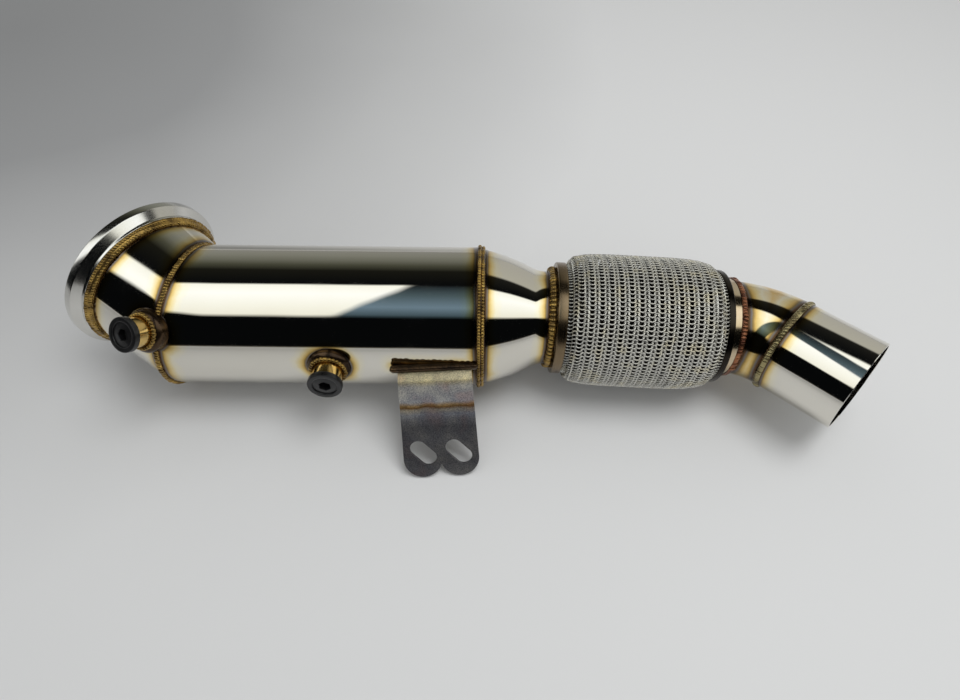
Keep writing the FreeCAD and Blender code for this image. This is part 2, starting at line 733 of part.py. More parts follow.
bead_form = doc.addObject("Part::Loft", "inlet_bead_form")
bead_form.Sections = [
    joint_oval(f"inlet_bead_{step + CROWN_STEPS}",
               root_depth - (bead_rise + root_depth) * (1 - (step / CROWN_STEPS) ** 2),
               half_bead * step / CROWN_STEPS)
    for step in range(-CROWN_STEPS, CROWN_STEPS + 1)]
bead_form.Solid = True
bead_form.Ruled = True

bung_foot = barrel_radius - size("bung_sunk")
front_bung = tube("front_bung", bung_foot, bung_face, bung_radius, bung_radius - bung_bore,
                  FRONT_BUNG)
rear_bung = tube("rear_bung", bung_foot, bung_face, bung_radius, bung_radius - bung_bore,
                 REAR_BUNG)
front_weld_hole = primitive("Cylinder", "front_weld_hole",
                            FRONT_BUNG * moved(barrel_radius / 2) * spun("Y", 90),
                            Radius=bung_radius + size("bung_weld_leg"), Height=barrel_radius)
inlet_weld = cut("inlet_weld", bead_form, stub_outside, barrel_rod, front_weld_hole)

weld_toe = (stub_length, stub_radius)
flange_weld = turned("flange_weld", [
    weld_toe,
    crowned(weld_toe, (flange_start, stub_radius + size("flange_weld_leg"))),
    (flange_start, stub_radius),
], INLET)
barrel_weld = lap_ring("barrel_weld", BARREL, barrel_length, barrel_radius, lap_radius, 1)
neck_weld = lap_ring("neck_weld", FLEX, as_size(0), collar_radius, tube_radius + slip, -1)
rear_weld = ring_bead("rear_weld", REAR_JOINT, collar_radius, tube_radius,
                      size("elbow_entry"))
outlet_weld = ring_bead("outlet_weld", OUTLET, tube_radius, tube_radius, bevel=outlet_bevel)


def bung_weld(name, frame, *neighbours):
    """The fillet round a bung, cut to the tube that it stands on."""
    toe = bung_radius + size("bung_weld_leg")
    sunk = barrel_radius - size("bung_weld_leg")
    foot = (barrel_radius, toe)
    blank = turned(f"{name}_blank", [
        (sunk, bung_radius + seat),
        (sunk, toe),
        foot,
        crowned(foot, (barrel_radius + size("bung_weld_height"), bung_radius + seat)),
    ], frame)
    return cut(name, blank, *neighbours)


front_bung_weld = bung_weld("front_bung_weld", FRONT_BUNG, stub_outside, barrel_rod)
rear_bung_weld = bung_weld("rear_bung_weld", REAR_BUNG, barrel_rod)


HEX_SIDES = 6


def plug(name, frame):
    """A blanking plug: a round head on a threaded shank, with a hexagon socket."""
    head_radius = size("plug_head_radius")
    edge = size("plug_edge")
    head_face = bung_face + size("plug_head")
    shank_end = bung_face - size("plug_shank")
    shank_radius = bung_bore - size("plug_fit")
    blank = turned(f"{name}_blank", [
        (shank_end, 0),
        (shank_end, shank_radius - edge),
        (shank_end + edge, shank_radius),
        (bung_face, shank_radius),
        (bung_face, head_radius),
        (head_face - edge, head_radius),
        (head_face, head_radius - edge),
        (head_face, 0),
    ], frame)
    hexagon = doc.addObject("Part::Prism", f"{name}_socket")
    hexagon.Polygon = HEX_SIDES
    depth = size("hex_depth")
    half_side = as_size(180) / HEX_SIDES
    bind(hexagon, Circumradius=size("hex_flats") / 2 / cosine(half_side), Height=depth)
    hexagon.Placement = frame * moved(head_face - depth) * spun("Y", 90)
    return cut(name, blank, hexagon)


front_plug = plug("front_plug", FRONT_BUNG)
rear_plug = plug("rear_plug", REAR_BUNG)

# Bracket: a folded plate with two lobes, each with a slanted slot, on a foot that is
# welded to the barrel. Its local Y axis runs down the plate, and local Z out of its back.
fold = size("bracket_fold")
half_plate = plate / 2
fold_run = size("fold_round") * tangent(fold / 2)
half_width = size("bracket_half")
lobe = size("lobe_radius")
lobe_line = size("bracket_reach")
tip_width = half_width + size("bracket_flare")
lobe_gap = (half_width + tip_width) / 2 - lobe
lobe_middle = (tip_width - half_width) / 2
notch = lobe_line + root(lobe * lobe - lobe_gap * lobe_gap)

bracket_body = new_body("bracket_blank")
plate_pad = bracket_body.newObject("PartDesign::Pad", "plate_pad")
plate_pad.Profile = outline(new_sketch(bracket_body, "plate_outline", "XY_Plane"), [
    (-half_width, fold_run),
    (-half_width, lobe_line),
    (lobe_middle, notch, lobe, 1),
    (tip_width, lobe_line, lobe, 1),
    (half_width, fold_run),
])
plate_pad.Midplane = True
bind(plate_pad, Length=plate)


def foot_point(distance, side):
    """A point of the foot's section, back from the fold, on one side of the sheet."""
    across = sine(fold) * half_plate * side - cosine(fold) * distance
    return across, sine(fold) * distance + cosine(fold) * half_plate * side


foot_end = size("bracket_stand") * 2
foot_pad = bracket_body.newObject("PartDesign::Pad", "foot_pad")
foot_pad.Profile = outline(new_sketch(bracket_body, "foot_section", "YZ_Plane"), [
    (fold_run, -half_plate, size("fold_round") + half_plate, -1),
    (fold_run + plate, -half_plate),
    (fold_run + plate, half_plate),
    (fold_run, half_plate),
    (*foot_point(fold_run, 1), size("fold_round") - half_plate, 1),
    foot_point(foot_end, 1),
    foot_point(foot_end, -1),
    foot_point(fold_run, -1),
])
foot_pad.Midplane = True
bind(foot_pad, Length=half_width * 2)

slot_radius = size("slot_radius")
slot_half = size("slot_half")
slant = size("slot_angle")
slot_line = lobe_line - size("slot_back")
slot_centres = [lobe - half_width + size("slot_inset"), tip_width - lobe - size("slot_inset")]


def slot_point(centre, along, aside):
    """A point of a slot: along its slanted length from the centre, and aside from it."""
    across = centre + cosine(slant) * along - sine(slant) * aside
    return across, slot_line + sine(slant) * along + cosine(slant) * aside


def slot_cut(name, sketch):
    pocket = bracket_body.newObject("PartDesign::Pocket", name)
    pocket.Profile = sketch
    pocket.Type = "ThroughAll"
    pocket.Midplane = True
    doc.recompute()


for index, centre in enumerate(slot_centres, start=1):
    for end, along in enumerate((-slot_half, slot_half), start=1):
        spot = slot_point(centre, along, as_size(0))
        ends = new_sketch(bracket_body, f"slot_{index}_end_{end}", "XY_Plane")
        centre_spot = FreeCAD.Vector(spot[0].number, spot[1].number, 0)
        circle = ends.addGeometry(
            Part.Circle(centre_spot, FreeCAD.Vector(0, 0, 1), slot_radius.number))
        fix_point(ends, circle, 3, *spot)
        held = ends.addConstraint(Sketcher.Constraint("Radius", circle, slot_radius.number))
        ends.setExpression(f"Constraints[{held}]", slot_radius.text)
        slot_cut(f"slot_{index}_round_{end}", ends)
    sides = outline(new_sketch(bracket_body, f"slot_{index}_sides", "XY_Plane"), [
        slot_point(centre, -slot_half, -slot_radius),
        slot_point(centre, slot_half, -slot_radius),
        slot_point(centre, slot_half, slot_radius),
        slot_point(centre, -slot_half, slot_radius),
    ])
    slot_cut(f"slot_{index}_middle", sides)
bracket_body.Placement = FOLD
bracket = cut("bracket", bracket_body, barrel_rod)

# The bead along the foot, in the corner between the foot's top and the barrel.
foot_slope = size("bracket_slope") - fold + fold_angle
foot_length = (fold_distance * cosine(foot_slope)
               - root(barrel_radius * barrel_radius
                      - fold_distance * sine(foot_slope) * (fold_distance * sine(foot_slope))))
foot_bead = size("foot_bead")
bead_half = half_width + size("foot_bead_over")
bead_line = foot_point(foot_length, -(as_size(1) + size("foot_bead_lift") / half_plate))
bead_start = FOLD * moved(-bead_half, *bead_line)
foot_rod = primitive("Cylinder", "foot_rod", bead_start * spun("Y", 90), Radius=foot_bead,
                     Height=bead_half * 2)
foot_rod_start = primitive("Sphere", "foot_rod_start", bead_start, Radius=foot_bead)
foot_rod_end = primitive("Sphere", "foot_rod_end", FOLD * moved(bead_half, *bead_line),
                         Radius=foot_bead)
bracket_weld = cut("bracket_weld", fused("foot_rods", foot_rod, foot_rod_start, foot_rod_end),
                   barrel_rod, bracket, barrel_weld)

PIECES = [
    turbo_flange, flange_weld, inlet_stub, inlet_weld, barrel, barrel_weld, reducer, neck_weld,
    front_collar, front_cap, bellows, liner, braid_sleeve, rear_cap, rear_collar, rear_weld,
    elbow, outlet_weld, outlet_tube, front_bung, front_bung_weld, front_plug, rear_bung,
    rear_bung_weld, rear_plug, bracket, bracket_weld,
]

doc.recompute()
faults = [item.Name for item in doc.Objects
          if "Invalid" in item.State or "Error" in item.State]
faults += [piece.Label for piece in PIECES
           if piece.Shape.isNull() or not piece.Shape.isValid() or not piece.Shape.Solids]
if faults:
    raise SystemExit(f"these objects failed: {faults}")
os.makedirs("parts", exist_ok=True)
for piece in PIECES:
    piece.Shape.exportStep(f"parts/{piece.Label}.step")
    box = piece.Shape.BoundBox
    print(f"{piece.Label:16} {len(piece.Shape.Solids)} solid, {piece.Shape.Volume / 1000:8.2f} cm3,"
          f" z {box.ZMin:7.2f} to {box.ZMax:7.2f}")
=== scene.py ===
"""A polished turbo downpipe on a pale floor: the looks of every piece round its solids."""
import json
import logging
import math
from dataclasses import dataclass, field
from enum import Enum
from typing import Any, Callable, Sequence

import bmesh
import bpy
from mathutils import Matrix, Vector
from mathutils.bvhtree import BVHTree


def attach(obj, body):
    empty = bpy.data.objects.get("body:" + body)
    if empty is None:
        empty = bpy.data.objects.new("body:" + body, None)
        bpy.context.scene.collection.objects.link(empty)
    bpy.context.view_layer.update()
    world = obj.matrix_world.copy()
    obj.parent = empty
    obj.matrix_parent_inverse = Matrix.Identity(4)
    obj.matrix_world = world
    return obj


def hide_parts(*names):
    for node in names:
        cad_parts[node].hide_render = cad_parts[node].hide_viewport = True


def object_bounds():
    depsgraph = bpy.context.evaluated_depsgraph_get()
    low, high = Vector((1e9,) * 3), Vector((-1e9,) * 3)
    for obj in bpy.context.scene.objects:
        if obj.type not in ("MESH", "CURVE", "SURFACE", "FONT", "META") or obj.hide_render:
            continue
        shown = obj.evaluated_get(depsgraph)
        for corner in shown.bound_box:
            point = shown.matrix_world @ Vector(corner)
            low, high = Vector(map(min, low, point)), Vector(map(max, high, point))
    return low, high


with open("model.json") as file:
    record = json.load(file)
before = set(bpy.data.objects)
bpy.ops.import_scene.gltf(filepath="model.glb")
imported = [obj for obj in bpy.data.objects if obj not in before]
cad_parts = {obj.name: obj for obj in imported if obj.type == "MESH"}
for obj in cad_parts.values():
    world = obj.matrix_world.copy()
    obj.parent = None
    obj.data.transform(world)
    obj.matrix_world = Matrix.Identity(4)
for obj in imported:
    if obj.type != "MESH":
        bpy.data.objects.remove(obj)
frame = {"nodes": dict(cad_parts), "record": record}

CAD_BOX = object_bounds()
MM = 0.001
BODY = "root"
ROUND = 192
STRAIGHT = math.radians(14)
CORNER_SHARE = 0.45
BLENDED = {"data_type": "RGBA"}
MULTIPLIED = {"data_type": "RGBA", "blend_type": "MULTIPLY"}
LOG = logging.getLogger("downpipe")

Pair = tuple[float, float]
Triple = tuple[float, float, float]
Ring = list[Vector]
Path = tuple[Ring, Ring]
Tree = bpy.types.NodeTree
Node = bpy.types.Node
Socket = bpy.types.NodeSocket
Mesh = bpy.types.Mesh
Piece = bpy.types.Object


def linear(colour: str) -> tuple[float, float, float, float]:
    """Turn an sRGB hex colour into linear light.

    Args:
        colour: Six hex digits after a hash.

    Returns:
        Linear red, green, blue and an alpha of one.
    """
    parts = [int(colour[start:start + 2], 16) / 255 for start in (1, 3, 5)]
    lit = [part / 12.92 if part <= 0.04045 else ((part + 0.055) / 1.055) ** 2.4
           for part in parts]
    return (*lit, 1.0)


def per(millimetres: float) -> float:
    """Return the scale of a noise whose features are about so many millimetres wide."""
    return 1 / (millimetres * MM)


def add(tree: Tree, kind: str, *inputs: Any, stops: Sequence[tuple[float, str]] = (),
        settings: dict[str, Any] | None = None, **named: Any) -> Node:
    """Add a node with its settings and its links.

    An input takes a plain value, a socket, or a node whose first output in use is linked.

    Args:
        tree: The shader or geometry tree.
        kind: The node's type without its family's prefix, then its operation if it has one.
        inputs: What goes into the inputs in use, in their order.
        stops: Places and hex colours of a colour ramp.
        settings: Other attributes of the node.
        named: What goes into inputs by name, with spaces as underscores.

    Returns:
        The new node.
    """
    name, _, operation = kind.partition(" ")
    family = next(word for word in ("ShaderNode", "GeometryNode", "FunctionNode")
                  if hasattr(bpy.types, word + name))
    made = tree.nodes.new(family + name)
    if operation:
        made.operation = operation
    for key, value in (settings or {}).items():
        setattr(made, key, value)
    if stops:
        elements = made.color_ramp.elements
        while len(elements) < len(stops):
            elements.new(1.0)
        for element, (place, colour) in zip(elements, stops):
            element.position = place
            element.color = linear(colour)
    used = [socket for socket in made.inputs if socket.enabled]
    wires = list(zip(used, inputs))
    wires += [(made.inputs[key.replace("_", " ")], value) for key, value in named.items()]
    for socket, value in wires:
        if isinstance(value, Node):
            value = next(output for output in value.outputs if output.enabled)
        if isinstance(value, Socket):
            tree.links.new(value, socket)
        else:
            socket.default_value = value
    return made


# Placements along the pipe. Each has X along the pipe, in metres.


def shifted(along: float = 0.0, across: float = 0.0, up: float = 0.0) -> Matrix:
    """Return a shift given in millimetres."""
    return Matrix.Translation(Vector((along, across, up)) * MM)


def spun(axis: str, degrees: float) -> Matrix:
    """Return a turn about one axis."""
    return Matrix.Rotation(math.radians(degrees), 4, axis)


@dataclass(frozen=True)
class PipeRoute:
    """The pipe's centre line, in millimetres and degrees, as the solids have it."""

    inlet_turn: float = 35.9
    inlet_pitch: float = 9.0
    joint_turn: float = 11.2
    joint_pitch: float = 6.1
    face_reach: float = 62.8
    barrel_length: float = 238.4
    neck_start: float = 294.4
    flex_turn: float = 2.0
    flex_drop: float = 1.2
    flex_length: float = 148.6
    elbow_roll: float = 11.5
    elbow_entry: float = 4.0
    elbow_radius: float = 67.0
    elbow_bend: float = 40.2
    outlet_length: float = 61.0

    @property
    def barrel(self) -> Matrix:
        """Placement at the mitre joint, X along the barrel."""
        turbo = frame["record"]["mounts"][0]
        return Matrix.Translation(Vector(turbo["axis"]) * -self.face_reach * MM)

    @property
    def barrel_edge(self) -> Matrix:
        """Placement at the barrel's open edge."""
        return self.barrel @ shifted(self.barrel_length)

    @property
    def inlet(self) -> Matrix:
        """Placement at the mitre joint, X out to the flange."""
        return self.barrel @ spun("Z", 180 - self.inlet_turn) @ spun("Y", -self.inlet_pitch)

    @property
    def joint(self) -> Matrix:
        """Placement at the mitre joint, X square to its plane."""
        return self.barrel @ spun("Z", 180 - self.joint_turn) @ spun("Y", -self.joint_pitch)

    @property
    def flex(self) -> Matrix:
        """Placement at the front edge of the flex section."""
        start = self.barrel @ shifted(self.neck_start)
        return start @ spun("Z", -self.flex_turn) @ spun("Y", self.flex_drop)

    @property
    def rear(self) -> Matrix:
        """Placement at the flex section's rear joint, before the elbow's turn."""
        return self.flex @ shifted(self.flex_length) @ spun("X", -self.elbow_roll)

    @property
    def rear_joint(self) -> Matrix:
        """Placement at the rear joint, X square to its plane."""
        return self.rear @ spun("Z", -self.elbow_entry / 2)

    @property
    def elbow(self) -> Matrix:
        """Placement at the elbow's start."""
        return self.rear @ spun("Z", -self.elbow_entry)

    def bend(self, degrees: float) -> Matrix:
        """Placement on the elbow's centre line after so much of its bend."""
        turn, radius = math.radians(degrees), self.elbow_radius
        return (self.elbow @ shifted(radius * math.sin(turn), radius * (math.cos(turn) - 1))
                @ spun("Z", -degrees))

    @property
    def outlet(self) -> Matrix:
        """Placement at the outlet tube's start."""
        return self.bend(self.elbow_bend)


ROUTE = PipeRoute()


# Meshes.


def filleted(points: Sequence[Pair], radius: float, steps: int = 4) -> list[Pair]:
    """Round the corners of a closed outline, as deburring does.

    Args:
        points: The outline's corners, in millimetres.
        radius: How far from each corner its rounding starts.
        steps: Edges in each rounding.

    Returns:
        The outline with its corners rounded.
    """
    smooth: list[Pair] = []
    for index, corner in enumerate(points):
        here = Vector(corner)
        before = Vector(points[index - 1]) - here
        after = Vector(points[(index + 1) % len(points)]) - here
        if before.angle(-after) < STRAIGHT:
            smooth.append(corner)
            continue
        start = here + before.normalized() * min(radius, before.length * CORNER_SHARE)
        end = here + after.normalized() * min(radius, after.length * CORNER_SHARE)
        for step in range(steps + 1):
            part = step / steps
            spot = start * (1 - part) ** 2 + here * 2 * part * (1 - part) + end * part ** 2
            smooth.append((spot.x, spot.y))
    return smooth


def arc(start: Pair, end: Pair, radius: float, side: int, steps: int = 24) -> list[Pair]:
    """Points of an arc after its start.

    Args:
        start: Where the arc starts.
        end: Where it ends.
        radius: Its radius.
        side: 1 to bulge to the left of its direction, -1 to the right.
        steps: Number of points.

    Returns:
        The points from the first step to the end.
    """
    first, last = Vector(start), Vector(end)
    half = (last - first) / 2
    left = Vector((-half.y, half.x)).normalized()
    centre = first + half - left * side * math.sqrt(max(radius ** 2 - half.length ** 2, 0))
    arm = first - centre
    sweep = arm.angle_signed(last - centre)
    return [tuple(centre + Matrix.Rotation(-sweep * step / steps, 2) @ arm)
            for step in range(1, steps + 1)]


def circle(place: Matrix, radius: float, count: int = ROUND) -> Ring:
    """A ring of points square to the placement's X axis, its radius in millimetres."""
    turns = [math.tau * step / count for step in range(count)]
    return [place @ (Vector((0, math.sin(turn), math.cos(turn))) * (radius * MM)) for turn in turns]


def linked(name: str, data: bpy.types.ID) -> Piece:
    """Link data to the scene as an object that sits at the origin."""
    made = bpy.data.objects.new(name, data)
    bpy.context.scene.collection.objects.link(made)
    return made


def formed(name: str, form: bmesh.types.BMesh) -> Piece:
    """Turn finished mesh work into a piece.

    Args:
        name: The piece's name.
        form: The mesh work, which is used up.

    Returns:
        The piece.
    """
    mesh = bpy.data.meshes.new(name)
    form.to_mesh(mesh)
    form.free()
    return linked(name, mesh)


def smoothed(mesh: Mesh, sharp: float = 32.0) -> None:
    """Shade a mesh smooth but for edges sharper than an angle in degrees."""
    mesh.polygons.foreach_set("use_smooth", [True] * len(mesh.polygons))
    mesh.set_sharp_from_angle(angle=math.radians(sharp))


def skinned(name: str, rings: Sequence[Ring], closed: bool = True) -> Piece:
    """Skin rings of equal length into a closed shell.

    Args:
        name: The piece's name.
        rings: Rings in order.
        closed: Whether the last ring joins the first, or both are filled.

    Returns:
        The piece, with its faces turned outwards.
    """
    form = bmesh.new()
    rows = [[form.verts.new(point) for point in ring] for ring in rings]
    count = len(rows[0])
    for low, high in zip(rows, rows[1:] + (rows[:1] if closed else [])):
        for step in range(count):
            ahead = (step + 1) % count
            form.faces.new((low[step], low[ahead], high[ahead], high[step]))
    if not closed:
        form.faces.new(rows[0])
        form.faces.new(rows[-1])
    bmesh.ops.recalc_face_normals(form, faces=form.faces)
    piece = formed(name, form)
    smoothed(piece.data)
    return piece


def turned(name: str, outline: Sequence[Pair], place: Matrix, count: int = ROUND) -> Piece:
    """Turn a closed outline of (along, radius) points in millimetres about X."""
    return skinned(name, [circle(place @ shifted(along), radius, count)
                          for along, radius in outline])


def evaluated(piece: Piece, name: str, place: Matrix | None = None) -> Piece:
    """Bake a piece's modifiers into a plain mesh at the origin.

    Args:
        piece: The piece with live modifiers, which is removed.
        name: The new piece's name.
        place: A placement for the mesh.

    Returns:
        The plain piece.
    """
    view = bpy.context.evaluated_depsgraph_get()
    view.update()
    mesh = bpy.data.meshes.new_from_object(piece.evaluated_get(view))
    if place is not None:
        mesh.transform(place)
    bpy.data.objects.remove(piece)
    mesh.name = name
    return linked(name, mesh)


# What finishes measure from.


@dataclass(frozen=True)
class Axis:
    """A straight line, with its distances as shader nodes."""

    point: Vector
    way: Vector

    @classmethod
    def of(cls, place: Matrix, column: int = 0) -> "Axis":
        """The line from a placement's origin along one of its own axes, X first."""
        return cls(place.translation, place.col[column].to_3d())

    def offset(self, tree: Tree, spot: Socket) -> Node:
        """Offset from the line's point, in metres."""
        return add(tree, "VectorMath SUBTRACT", spot, tuple(self.point))

    def along(self, tree: Tree, spot: Socket) -> Node:
        """Distance along the line, times the length of its direction."""
        return add(tree, "VectorMath DOT_PRODUCT", self.offset(tree, spot), tuple(self.way))

    def out(self, tree: Tree, spot: Socket) -> Node:
        """Distance out from the line, times the length of its direction."""
        across = add(tree, "VectorMath CROSS_PRODUCT", self.offset(tree, spot), tuple(self.way))
        return add(tree, "VectorMath LENGTH", across)


@dataclass(frozen=True)
class HeatLine:
    """Heat tint beside a weld that lies in the plane square to an axis."""

    axis: Axis
    toe: float = 2.2

    def distance(self, tree: Tree, spot: Socket) -> Node:
        """Distance from the weld's toe in metres."""
        away = add(tree, "Math ABSOLUTE", self.axis.along(tree, spot))
        return add(tree, "Math MAXIMUM", add(tree, "Math SUBTRACT", away, self.toe * MM), 0.0)


@dataclass(frozen=True)
class HeatSpot:
    """Heat tint round a bung's weld."""

    axis: Axis
    radius: float

    def distance(self, tree: Tree, spot: Socket) -> Node:
        """Distance from the weld's toe in metres, far on the tube's other side."""
        near = add(tree, "Math SUBTRACT", self.axis.out(tree, spot), self.radius * MM)
        behind = add(tree, "Math MULTIPLY", self.axis.along(tree, spot), -1.0)
        return add(tree, "Math MAXIMUM", add(tree, "Math MAXIMUM", near, behind), 0.0)


@dataclass(frozen=True)
class HeatStrip:
    """Heat tint along a straight fillet between two points."""

    start: Vector
    end: Vector

    def distance(self, tree: Tree, spot: Socket) -> Node:
        """Distance from the strip in metres."""
        run = self.end - self.start
        line = Axis(self.start, run)
        share = add(tree, "Math DIVIDE", line.along(tree, spot), run.length_squared)
        foot = add(tree, "VectorMath SCALE", tuple(run), add(tree, "Clamp", share))
        return add(tree, "VectorMath DISTANCE", line.offset(tree, spot), foot)


Heat = HeatLine | HeatSpot | HeatStrip


# Finishes.


@dataclass(frozen=True)
class Finish:
    """What every finish shares: its name, and how it becomes a material."""

    name: str

    def material(self) -> bpy.types.Material:
        """Return the finish's material, made on first use."""
        known = bpy.data.materials.get(self.name)
        if known:
            return known
        made = bpy.data.materials.new(self.name)
        made.use_nodes = True
        tree = made.node_tree
        tree.nodes.clear()
        spot = add(tree, "TexCoord").outputs["Object"]
        add(tree, "OutputMaterial", Surface=self.surface(tree, spot))
        return made

    def surface(self, tree: Tree, spot: Socket) -> Node:
        """Build the surface shader.

        Args:
            tree: The material's tree.
            spot: The place on the object, in metres.

        Returns:
            The shader's node.
        """
        raise NotImplementedError

    @staticmethod
    def grained(tree: Tree, colour: Node, metallic: float, grain: Node, rough: Pair,
                depth: float) -> Node:
        """Build a surface whose grain gives its roughness and its bump.

        Args:
            tree: The material's tree.
            colour: Its colour.
            metallic: One for bare metal, less where a film dulls it.
            grain: A pattern from nought to one.
            rough: Roughness at both ends of the pattern.
            depth: Height of the pattern, in millimetres.

        Returns:
            The shader's node.
        """
        return add(tree, "BsdfPrincipled", Base_Color=colour, Metallic=metallic,
                   Roughness=add(tree, "MapRange", grain, 0.0, 1.0, *rough),
                   Normal=add(tree, "Bump", Height=grain, Distance=depth * MM))


@dataclass(frozen=True)
class PolishedSteel(Finish):
    """Stainless tube polished on a belt and buffed to a mirror.

    The buffing leaves faint waves and hairlines, and welding leaves oxide colours that run
    from brown at the weld's toe through grey and gold to straw.
    """

    heats: tuple[Heat, ...]
    tint_width: float
    colour: str = "#E3E0D8"

    def surface(self, tree: Tree, spot: Socket) -> Node:
        """Build mirror steel with heat tints."""
        near: Any = 1.0
        for heat in self.heats:
            near = add(tree, "Math MINIMUM", near, heat.distance(tree, spot))
        reach = add(tree, "Math DIVIDE", near, self.tint_width * MM)
        wander = add(tree, "Math SUBTRACT", add(tree, "TexNoise", spot, per(16.0), 3.0), 0.5)
        stirred = add(tree, "Math MULTIPLY_ADD", wander, add(tree, "Math MULTIPLY", reach, 0.9),
                      reach)
        tint = add(tree, "ValToRGB", stirred, stops=(
            (0.00, "#3E2F24"), (0.07, "#5A4532"), (0.13, "#6E6A68"), (0.19, "#8A7448"),
            (0.28, "#CFB06C"), (0.42, "#E3D09C"), (0.66, "#E8E2CE"), (1.0, self.colour)))
        cloud = add(tree, "TexNoise", spot, per(45.0), 2.0)
        warmth = add(tree, "MapRange", cloud, 0.0, 1.0, 0.0, 0.16)
        base = add(tree, "Mix", warmth, tint, linear("#DDD2B4"), settings=MULTIPLIED)
        swell = add(tree, "TexNoise", spot, per(38.0), 1.0)
        waves = add(tree, "Bump", Height=swell, Distance=0.10 * MM)
        brushed = add(tree, "Mapping", Vector=spot, Scale=(0.06, 1.0, 1.0))
        hairlines = add(tree, "TexNoise", brushed, per(0.9), 4.0, 0.6)
        fine = add(tree, "Bump", Height=hairlines, Distance=0.0012 * MM, Normal=waves)
        smear = add(tree, "TexNoise", spot, per(22.0), 4.0)
        worn = add(tree, "MapRange", smear, 0.45, 0.75, 0.035, 0.085)
        oxide = add(tree, "MapRange", reach, 0.0, 0.3, 0.16, 0.0)
        return add(tree, "BsdfPrincipled", Base_Color=base, Metallic=1.0,
                   Roughness=add(tree, "Math ADD", worn, oxide), Normal=fine)


@dataclass(frozen=True)
class TurnedSteel(Finish):
    """Stainless turned on a lathe: fine rings about the axis that catch the light."""

    axis: Axis
    colour: str
    stain: str
    gloss: float

    def surface(self, tree: Tree, spot: Socket) -> Node:
        """Build turned steel."""
        section = add(tree, "CombineXYZ", self.axis.along(tree, spot), self.axis.out(tree, spot))
        rings = add(tree, "TexNoise", section, per(0.5), 3.0)
        cloud = add(tree, "TexNoise", spot, per(14.0), 3.0)
        stained = add(tree, "MapRange", cloud, 0.0, 1.0, 0.0, 0.75)
        base = add(tree, "Mix", stained, linear(self.colour), linear(self.stain),
                   settings=BLENDED)
        rough = (self.gloss * 0.6, self.gloss * 1.5)
        return self.grained(tree, base, 1.0, rings, rough, 0.008)


class BeadTone(Enum):
    """The oxide colours of a weld, from its hot roots to its cool crests."""

    GOLD = ("#6A5430", "#BE9C54", "#EBD48E", "#FFF7DA")
    STRAW = ("#6C6044", "#ACA074", "#D8CDA4", "#F6F1DE")
    COPPER = ("#5E3A2C", "#A8704E", "#E0B48A", "#F6E6C8")
    DARK = ("#2A2019", "#54422F", "#A5864F", "#EAD6A6")


@dataclass(frozen=True)
class WeldMetal(Finish):
    """Cast filler metal, frozen in scales, each with its own film of oxide."""

    tone: BeadTone

    @classmethod
    def of(cls, tone: BeadTone) -> "WeldMetal":
        """The filler of one tone."""
        return cls(f"weld_metal_{tone.name.lower()}", tone)

    def surface(self, tree: Tree, spot: Socket) -> Node:
        """Build oxide coloured filler."""
        heat = add(tree, "Attribute", settings={"attribute_name": "heat"}).outputs["Fac"]
        cloud = add(tree, "Math MULTIPLY", add(tree, "TexNoise", spot, per(9.0), 3.0), 0.62)
        mixed = add(tree, "Math MULTIPLY_ADD", heat, 0.72, cloud)
        tint = add(tree, "ValToRGB", mixed,
                   stops=tuple(zip((0.20, 0.42, 0.60, 0.85), self.tone.value)))
        grain = add(tree, "TexNoise", spot, per(0.8), 2.0)
        return self.grained(tree, tint, 0.88, grain, (0.12, 0.32), 0.03)


@dataclass(frozen=True)
class DrawnWire(Finish):
    """Bright drawn stainless wire, a little dulled where it was knitted."""

    def surface(self, tree: Tree, spot: Socket) -> Node:
        """Build knitted wire."""
        cloud = add(tree, "TexNoise", spot, per(11.0), 3.0)
        tint = add(tree, "ValToRGB", cloud,
                   stops=((0.30, "#D2D0CA"), (0.52, "#E2E0D8"), (0.72, "#E8E0C8")))
        dulled = add(tree, "TexNoise", spot, per(2.2), 2.0)
        return self.grained(tree, tint, 0.88, dulled, (0.15, 0.36), 0.02)


@dataclass(frozen=True)
class DullSteel(Finish):
    """Unpolished steel inside the flex section, coloured a dark brownish grey and matt."""

    colour: str = "#4A453F"

    def surface(self, tree: Tree, spot: Socket) -> Node:
        """Build dull inner steel."""
        cloud = add(tree, "TexNoise", spot, per(6.0), 4.0)
        tint = add(tree, "ValToRGB", cloud, stops=((0.3, "#2B2825"), (0.7, self.colour)))
        return add(tree, "BsdfPrincipled", Base_Color=tint, Metallic=0.9,
                   Roughness=add(tree, "MapRange", cloud, 0.0, 1.0, 0.38, 0.6))


@dataclass(frozen=True)
class BlackOxide(Finish):
    """Steel blacked in hot salts: nearly black, with a soft oily shine in clouds."""

    def surface(self, tree: Tree, spot: Socket) -> Node:
        """Build black oxide."""
        cloud = add(tree, "TexNoise", spot, per(3.0), 4.0)
        tint = add(tree, "ValToRGB", cloud, stops=((0.35, "#0B0B0C"), (0.7, "#141315")))
        grit = add(tree, "TexNoise", spot, per(0.7), 2.0)
        return add(tree, "BsdfPrincipled", Base_Color=tint,
                   Roughness=add(tree, "MapRange", cloud, 0.0, 1.0, 0.22, 0.4),
                   Normal=add(tree, "Bump", Height=grit, Distance=0.01 * MM))


